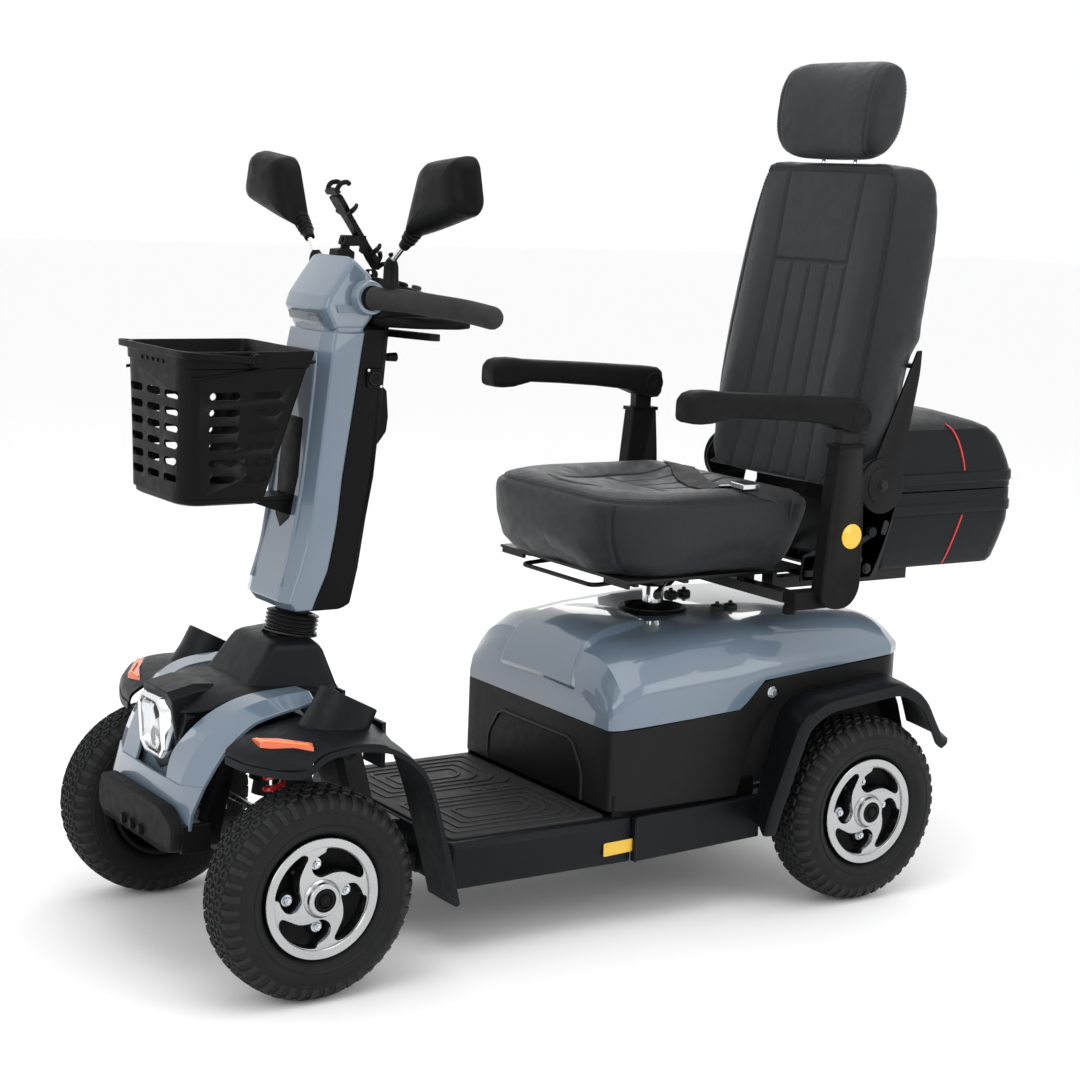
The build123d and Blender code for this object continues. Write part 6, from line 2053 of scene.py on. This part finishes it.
def rear_box():
    def section(z, inset=0.0, lean=0.0, rear=849.0, corner=34, low=508.0):
        half = 190 - inset
        rear_corner = min(820, rear - 26)
        points = [(-half, low + lean), (half, low + lean), (half, rear_corner), (half - corner, rear),
                  (-half + corner, rear), (-half, rear_corner)]
        return [(px, py, z) for px, py in fillet(points, [12, 12, 24, 24, 24, 24], 5)]

    def shrunk(ring, factor, y_pin=665):
        return [(px * factor, y_pin + (py - y_pin) * factor, pz) for px, py, pz in ring]
    base = [shrunk(section(557, 6), 0.80), shrunk(section(558, 5), 0.87), shrunk(section(566, 5), 0.90),
            shrunk(section(600, 5), 0.95), section(640, 5, rear=846), section(657, 4.5, rear=846),
            section(659, 1, rear=848), section(661, 0, rear=849), section(675, 0, rear=849),
            section(677, 1, rear=848.5),
            section(679, 3.2, rear=847), section(698, 3.2, rear=847), section(699.5, 4, rear=846)]
    inner = [section(699.5, 8, 4, rear=842), section(640, 9, 4, rear=842),
             shrunk(section(566, 9, 4, rear=842), 0.88)]
    shape = Shape().loft(base + inner)
    lower = shape.piece("box_lower", "seat", CHARCOAL, "charcoal", ["box_base"])
    cut(lower, Shape().tube([(60, 851, 701), (90.5, 851, 701)], 4.5, 20).mirror())
    lower.data.set_sharp_from_angle(angle=math.radians(28))
    steps = [(702, 4, 0.5, 846), (703, 3.2, 0.5, 847), (713, 3.2, 1, 847), (715, 1, 2, 848.5),
             (717, 0, 3, 849),
             (731, 0.5, 8, 848.5), (733, 1.5, 9, 847.5), (735, 4.5, 11, 845), (752, 5.5, 18, 838),
             (776, 8, 28, 826),
             (797, 12, 36, 812), (812, 20, 46, 796), (821, 34, 60, 776), (829, 62, 84, 752),
             (836, 90, 104, 730),
             (841, 120, 124, 706)]
    outer = [section(z, inset, lean, rear) for z, inset, lean, rear in steps]
    hollow = [section(max(702, z - 4), inset + 4, lean + 4, rear - 4) for z, inset, lean,
              rear in reversed(steps[::3])]
    crown = [shrunk(ring, 0.002, 690) for ring in (outer[-1], hollow[0])]
    lid_shape = Shape().loft(outer + crown + hollow, caps=False, loop=True)
    lid = lid_shape.piece("box_upper", "box_lid", CHARCOAL, "charcoal", ["box_lid"])
    cut(lid, Shape().tube([(59, 851, 701), (75.5, 851, 701)], 4.5, 20).mirror())
    lid.data.set_sharp_from_angle(angle=math.radians(28))

    def on_box(side, y, z):
        """The outer X of the box side at a height."""
        table = [(557, 160), (566, 166), (600, 176), (640, 185), (657, 185.5), (659, 189), (677, 189),
                 (680, 186.8),
                 (702, 186.8), (713, 186.8), (717, 190), (733, 189), (735, 185.5), (752, 184.5), (776, 182),
                 (797, 178),
                 (812, 170), (821, 156)]
        for (z0, x0), (z1, x1) in zip(table, table[1:]):
            if z <= z1:
                return x0 + (x1 - x0) * (z - z0) / (z1 - z0)
        return 156
    strips = {"box_strip_low": ("seat", [(680, 562), (684, 575), (689, 600), (696, 630), (703, 654)]),
              "box_strip_high": ("box_lid",
                                 [(702, 737), (699, 752), (692, 776), (684, 797), (677, 812), (672, 820)])}
    for name, (body, line) in strips.items():
        shape = Shape()
        route = [(on_box(1, y, z) + 0.2, y, z) for y, z in line]
        shape.tube(spline(route, 4), 1.9, 8)
        shape.mirror()
        shape.piece(name, body, RED, "spring_red", angle=60)
    latch = Shape()
    latch.loft([[(px, 848.4, pz) for px, pz in fillet([(-26, 668), (26, 668), (26, 700), (-26, 700)], 5, 2)],
                [(px, 852.5, pz) for px, pz in fillet([(-24, 670), (24, 670), (24, 698), (-24, 698)], 5, 2)]])
    latch.spun((0, 852, 684), (0, 1, 0), [(0, 0.2), (0, 8), (1.6, 8), (2.4, 6.5), (2.4, 2), (1.4, 1.6),
                                          (1.4, 0.2)], 28, slot=1)
    latch.piece("box_rear_lock", "seat", [BLACK, ZINC], "charcoal", bevel=0.8, segments=2)
    front_latch = Shape()
    front_latch.loft([[(px, 506, pz) for px,
                       pz in fillet([(-30, 664), (30, 664), (30, 699), (-30, 699)], 5, 2)],
                      [(px, 502.5, pz) for px,
                       pz in fillet([(-28, 666), (28, 666), (28, 697), (-28, 697)], 5, 2)]])
    front_latch.piece("box_front_latch", "seat", BLACK, "charcoal", bevel=0.8, segments=2)
    hinge_low = Shape()
    hinge_high = Shape()
    hinge_low.tube([(60, 851, 701), (75, 851, 701)], 3.9, 20)
    hinge_low.tube([(60, 851, 701), (90, 851, 701)], 1.9, 12)
    hinge_low.box(60, 75, 846.5, 852, 686, 701)
    hinge_high.tube([(75.6, 851, 701), (90, 851, 701)], 3.9, 20)
    hinge_high.box(75.6, 90, 846.5, 852, 701, 714)
    hinge_low.mirror()
    hinge_high.mirror()
    hinge_low.piece("box_hinge_low", "seat", STEELBLACK, "charcoal", bevel=0.5, segments=2)
    hinge_high.piece("box_hinge_high", "box_lid", STEELBLACK, "charcoal", bevel=0.5, segments=2)
    carrier = Shape()
    for px in (-118, 118):
        carrier.spun((px, 560, 541), (0, 0, 1), [(-8, 0.2), (-8, 11), (-4, 12), (15, 12), (15, 0.2)], 24)
        carrier.bolt((px, 600, 535.6), (0, 0, -1), 7, 6)
    carrier.piece("box_mount_knobs", "seat", BLACK, "black_plastic", angle=35)


rear_box()

# ---------------------------------------------------------------- seat steelwork


def steelwork():
    disc = Shape()
    centre = (464, 724)
    for sign in (1, -1):
        def place(u, v, w):
            return (sign * (225.5 + w), centre[0] + u, centre[1] + v)
        ring = [(50 * math.cos(a), 50 * math.sin(a)) for a in (2 * math.pi * k / 56 for k in range(56))]
        hole = [(9 + 6 * math.cos(a), 6 * math.sin(a) * 1.4) for a in (2 * math.pi * k / 20 for k in range(20))]
        disc.plate([ring, hole], -3, 3, place, edge=1.2)
        disc.plate([[(34 * math.cos(a), 34 * math.sin(a)) for a in (2 * math.pi * k / 40 for k in range(40))]],
                   2.4, 4.4, place, edge=0.8)
        disc.bolt((sign * 229.6, 464, 724), (sign, 0, 0), 8, 5)
    disc.piece("hinge_discs", "backrest", [STEELBLACK, ZINC], "frame_black", angle=35)
    frame = Shape()
    for sign in (1, -1):
        def place(u, v, w):
            return (sign * (222.5 + w), u, v)
        blade = fillet([(418, 712), (440, 752), (466, 812), (500, 890), (531, 962), (541, 963), (540, 925),
                        (529, 860),
                        (516, 790), (512, 730), (490, 690), (440, 686)],
                        [10, 20, 60, 80, 3, 3, 60, 80, 40, 24, 20, 20], 4)
        frame.plate([blade], -2.4, 2.4, place, edge=0.9)
    frame.box(-220, 220, 519, 541, 931, 939)
    frame.piece("back_blades", "backrest", STEELBLACK, "frame_black", ["back_frame"], bevel=0.6, segments=2)
    plates = Shape()
    for sign in (1, -1):
        def place(u, v, w):
            return (sign * (216.75 + w), u, v)
        outline = fillet([(298, 562), (456, 556), (478, 600), (497, 652), (512, 700), (500, 752), (470, 774),
                          (436, 766), (412, 736), (414, 708), (428, 688), (424, 668), (404, 640), (372, 612),
                          (300, 604)], [6, 10, 20, 20, 30, 30, 24, 24, 20, 14, 14, 16, 24, 24, 6], 4)
        hole = [(429 + 5.5 * math.cos(a), 592 + 5.5 * math.sin(a)) for a in (2 * math.pi * k / 20 for k in range(20))]
        slot = [(p[0], p[1]) for p in fillet([(476, 636), (486, 634), (493, 656), (483, 660)], 4, 3)]
        plates.plate([outline, hole, slot], -2.75, 2.75, place, edge=1.0)
        plates.bolt((sign * 219.5, 330, 580), (sign, 0, 0), 7, 5)
        plates.bolt((sign * 219.5, 446, 575), (sign, 0, 0), 7, 5)
    plates.piece("hinge_plates", "seat", [STEELBLACK, ZINC], "frame_black", angle=35)
    pan = Shape()
    for sign in (-1, 1):
        for k, py in enumerate((-44, 8, 60)):
            pan.box(*sorted((sign * 126, sign * 196)), py, py + 10, 569.5, 576.2)
        pan.spun((sign * 150, -30, 576), (0, 0, -1), [(0, 0.2), (0, 10), (6, 9), (9, 6), (9, 0.2)], 24)
    pan.box(126, 196, -59, -52, 567, 577)
    pan.box(-196, -126, -59, -52, 567, 577)
    pan.piece("pan_ribs", "seat", STEELBLACK, "frame_black", bevel=1.0, segments=2)
    swivel = Shape()
    swivel.spun((0, 140, 0), (0, 0, 1), [(530, 19.2), (530, 33), (536, 38), (548, 41), (552, 41),
                                         (552, 19.2)], 48)
    swivel.tube([(38, 140, 545), (60, 120, 543), (96, 84, 541), (122, 62, 541)], 4.5, 14)
    swivel.tube([(118, 66, 541), (132, 53, 541), (150, 38, 542)], [6.5, 8, 7], 16)
    swivel.piece("swivel_lever", "seat_swivel", [STEELBLACK], "frame_black", angle=38)


def recline_handle():
    shape = Shape()
    shape.spun((220.5, 446, 642), (1, 0, 0), [(0, 0.2), (0, 9), (11, 9), (11, 0.2)], 28)
    path = fillet([(438, 638), (452, 636), (404, 612), (392, 612), (392, 624), (402, 628)], 6, 3)
    shape.loft([[(px, py, pz) for py, pz in path] for px in (223, 230)])
    shape.piece("recline_grip", "recline_lever", CHARCOAL, "charcoal", ["recline_lever"], bevel=1.6,
                segments=3)


steelwork()
recline_handle()


def dress(node, material, bevel=1.0, angle=35):
    """A carried CAD node with its own surface and softened edges."""
    obj = NODES[node]
    if obj.data.materials:
        for i in range(len(obj.data.materials)):
            obj.data.materials[i] = material
    else:
        obj.data.materials.append(material)
    for slot_holder in obj.material_slots:
        slot_holder.material = material
    if bevel:
        made = obj.modifiers.new("soft edges", "BEVEL")
        made.width = bevel * MM
        made.segments = 2
        made.limit_method = "ANGLE"
        made.angle_limit = math.radians(angle)


for node, material, bevel in (
        ("chassis_frame", STEELBLACK, 2.5), ("batteries", TEXTURED, 3), ("front_axle_frame", STEELBLACK, 2),
        ("knuckle_left", CAST, 1.0), ("knuckle_right", CAST, 1.0), ("tie_rod", ZINC, 0.6),
        ("rear_axle_unit", CAST, 2.5), ("steering_stem", STEELBLACK, 1.0), ("seat_post", CHROME, 0.6),
        ("seat_rails", STEELBLACK, 0.8), ("seat_pan", STEELBLACK, 0.8),
        ("slide_lever", STEELBLACK, 0.0)):
    dress(node, material, bevel)
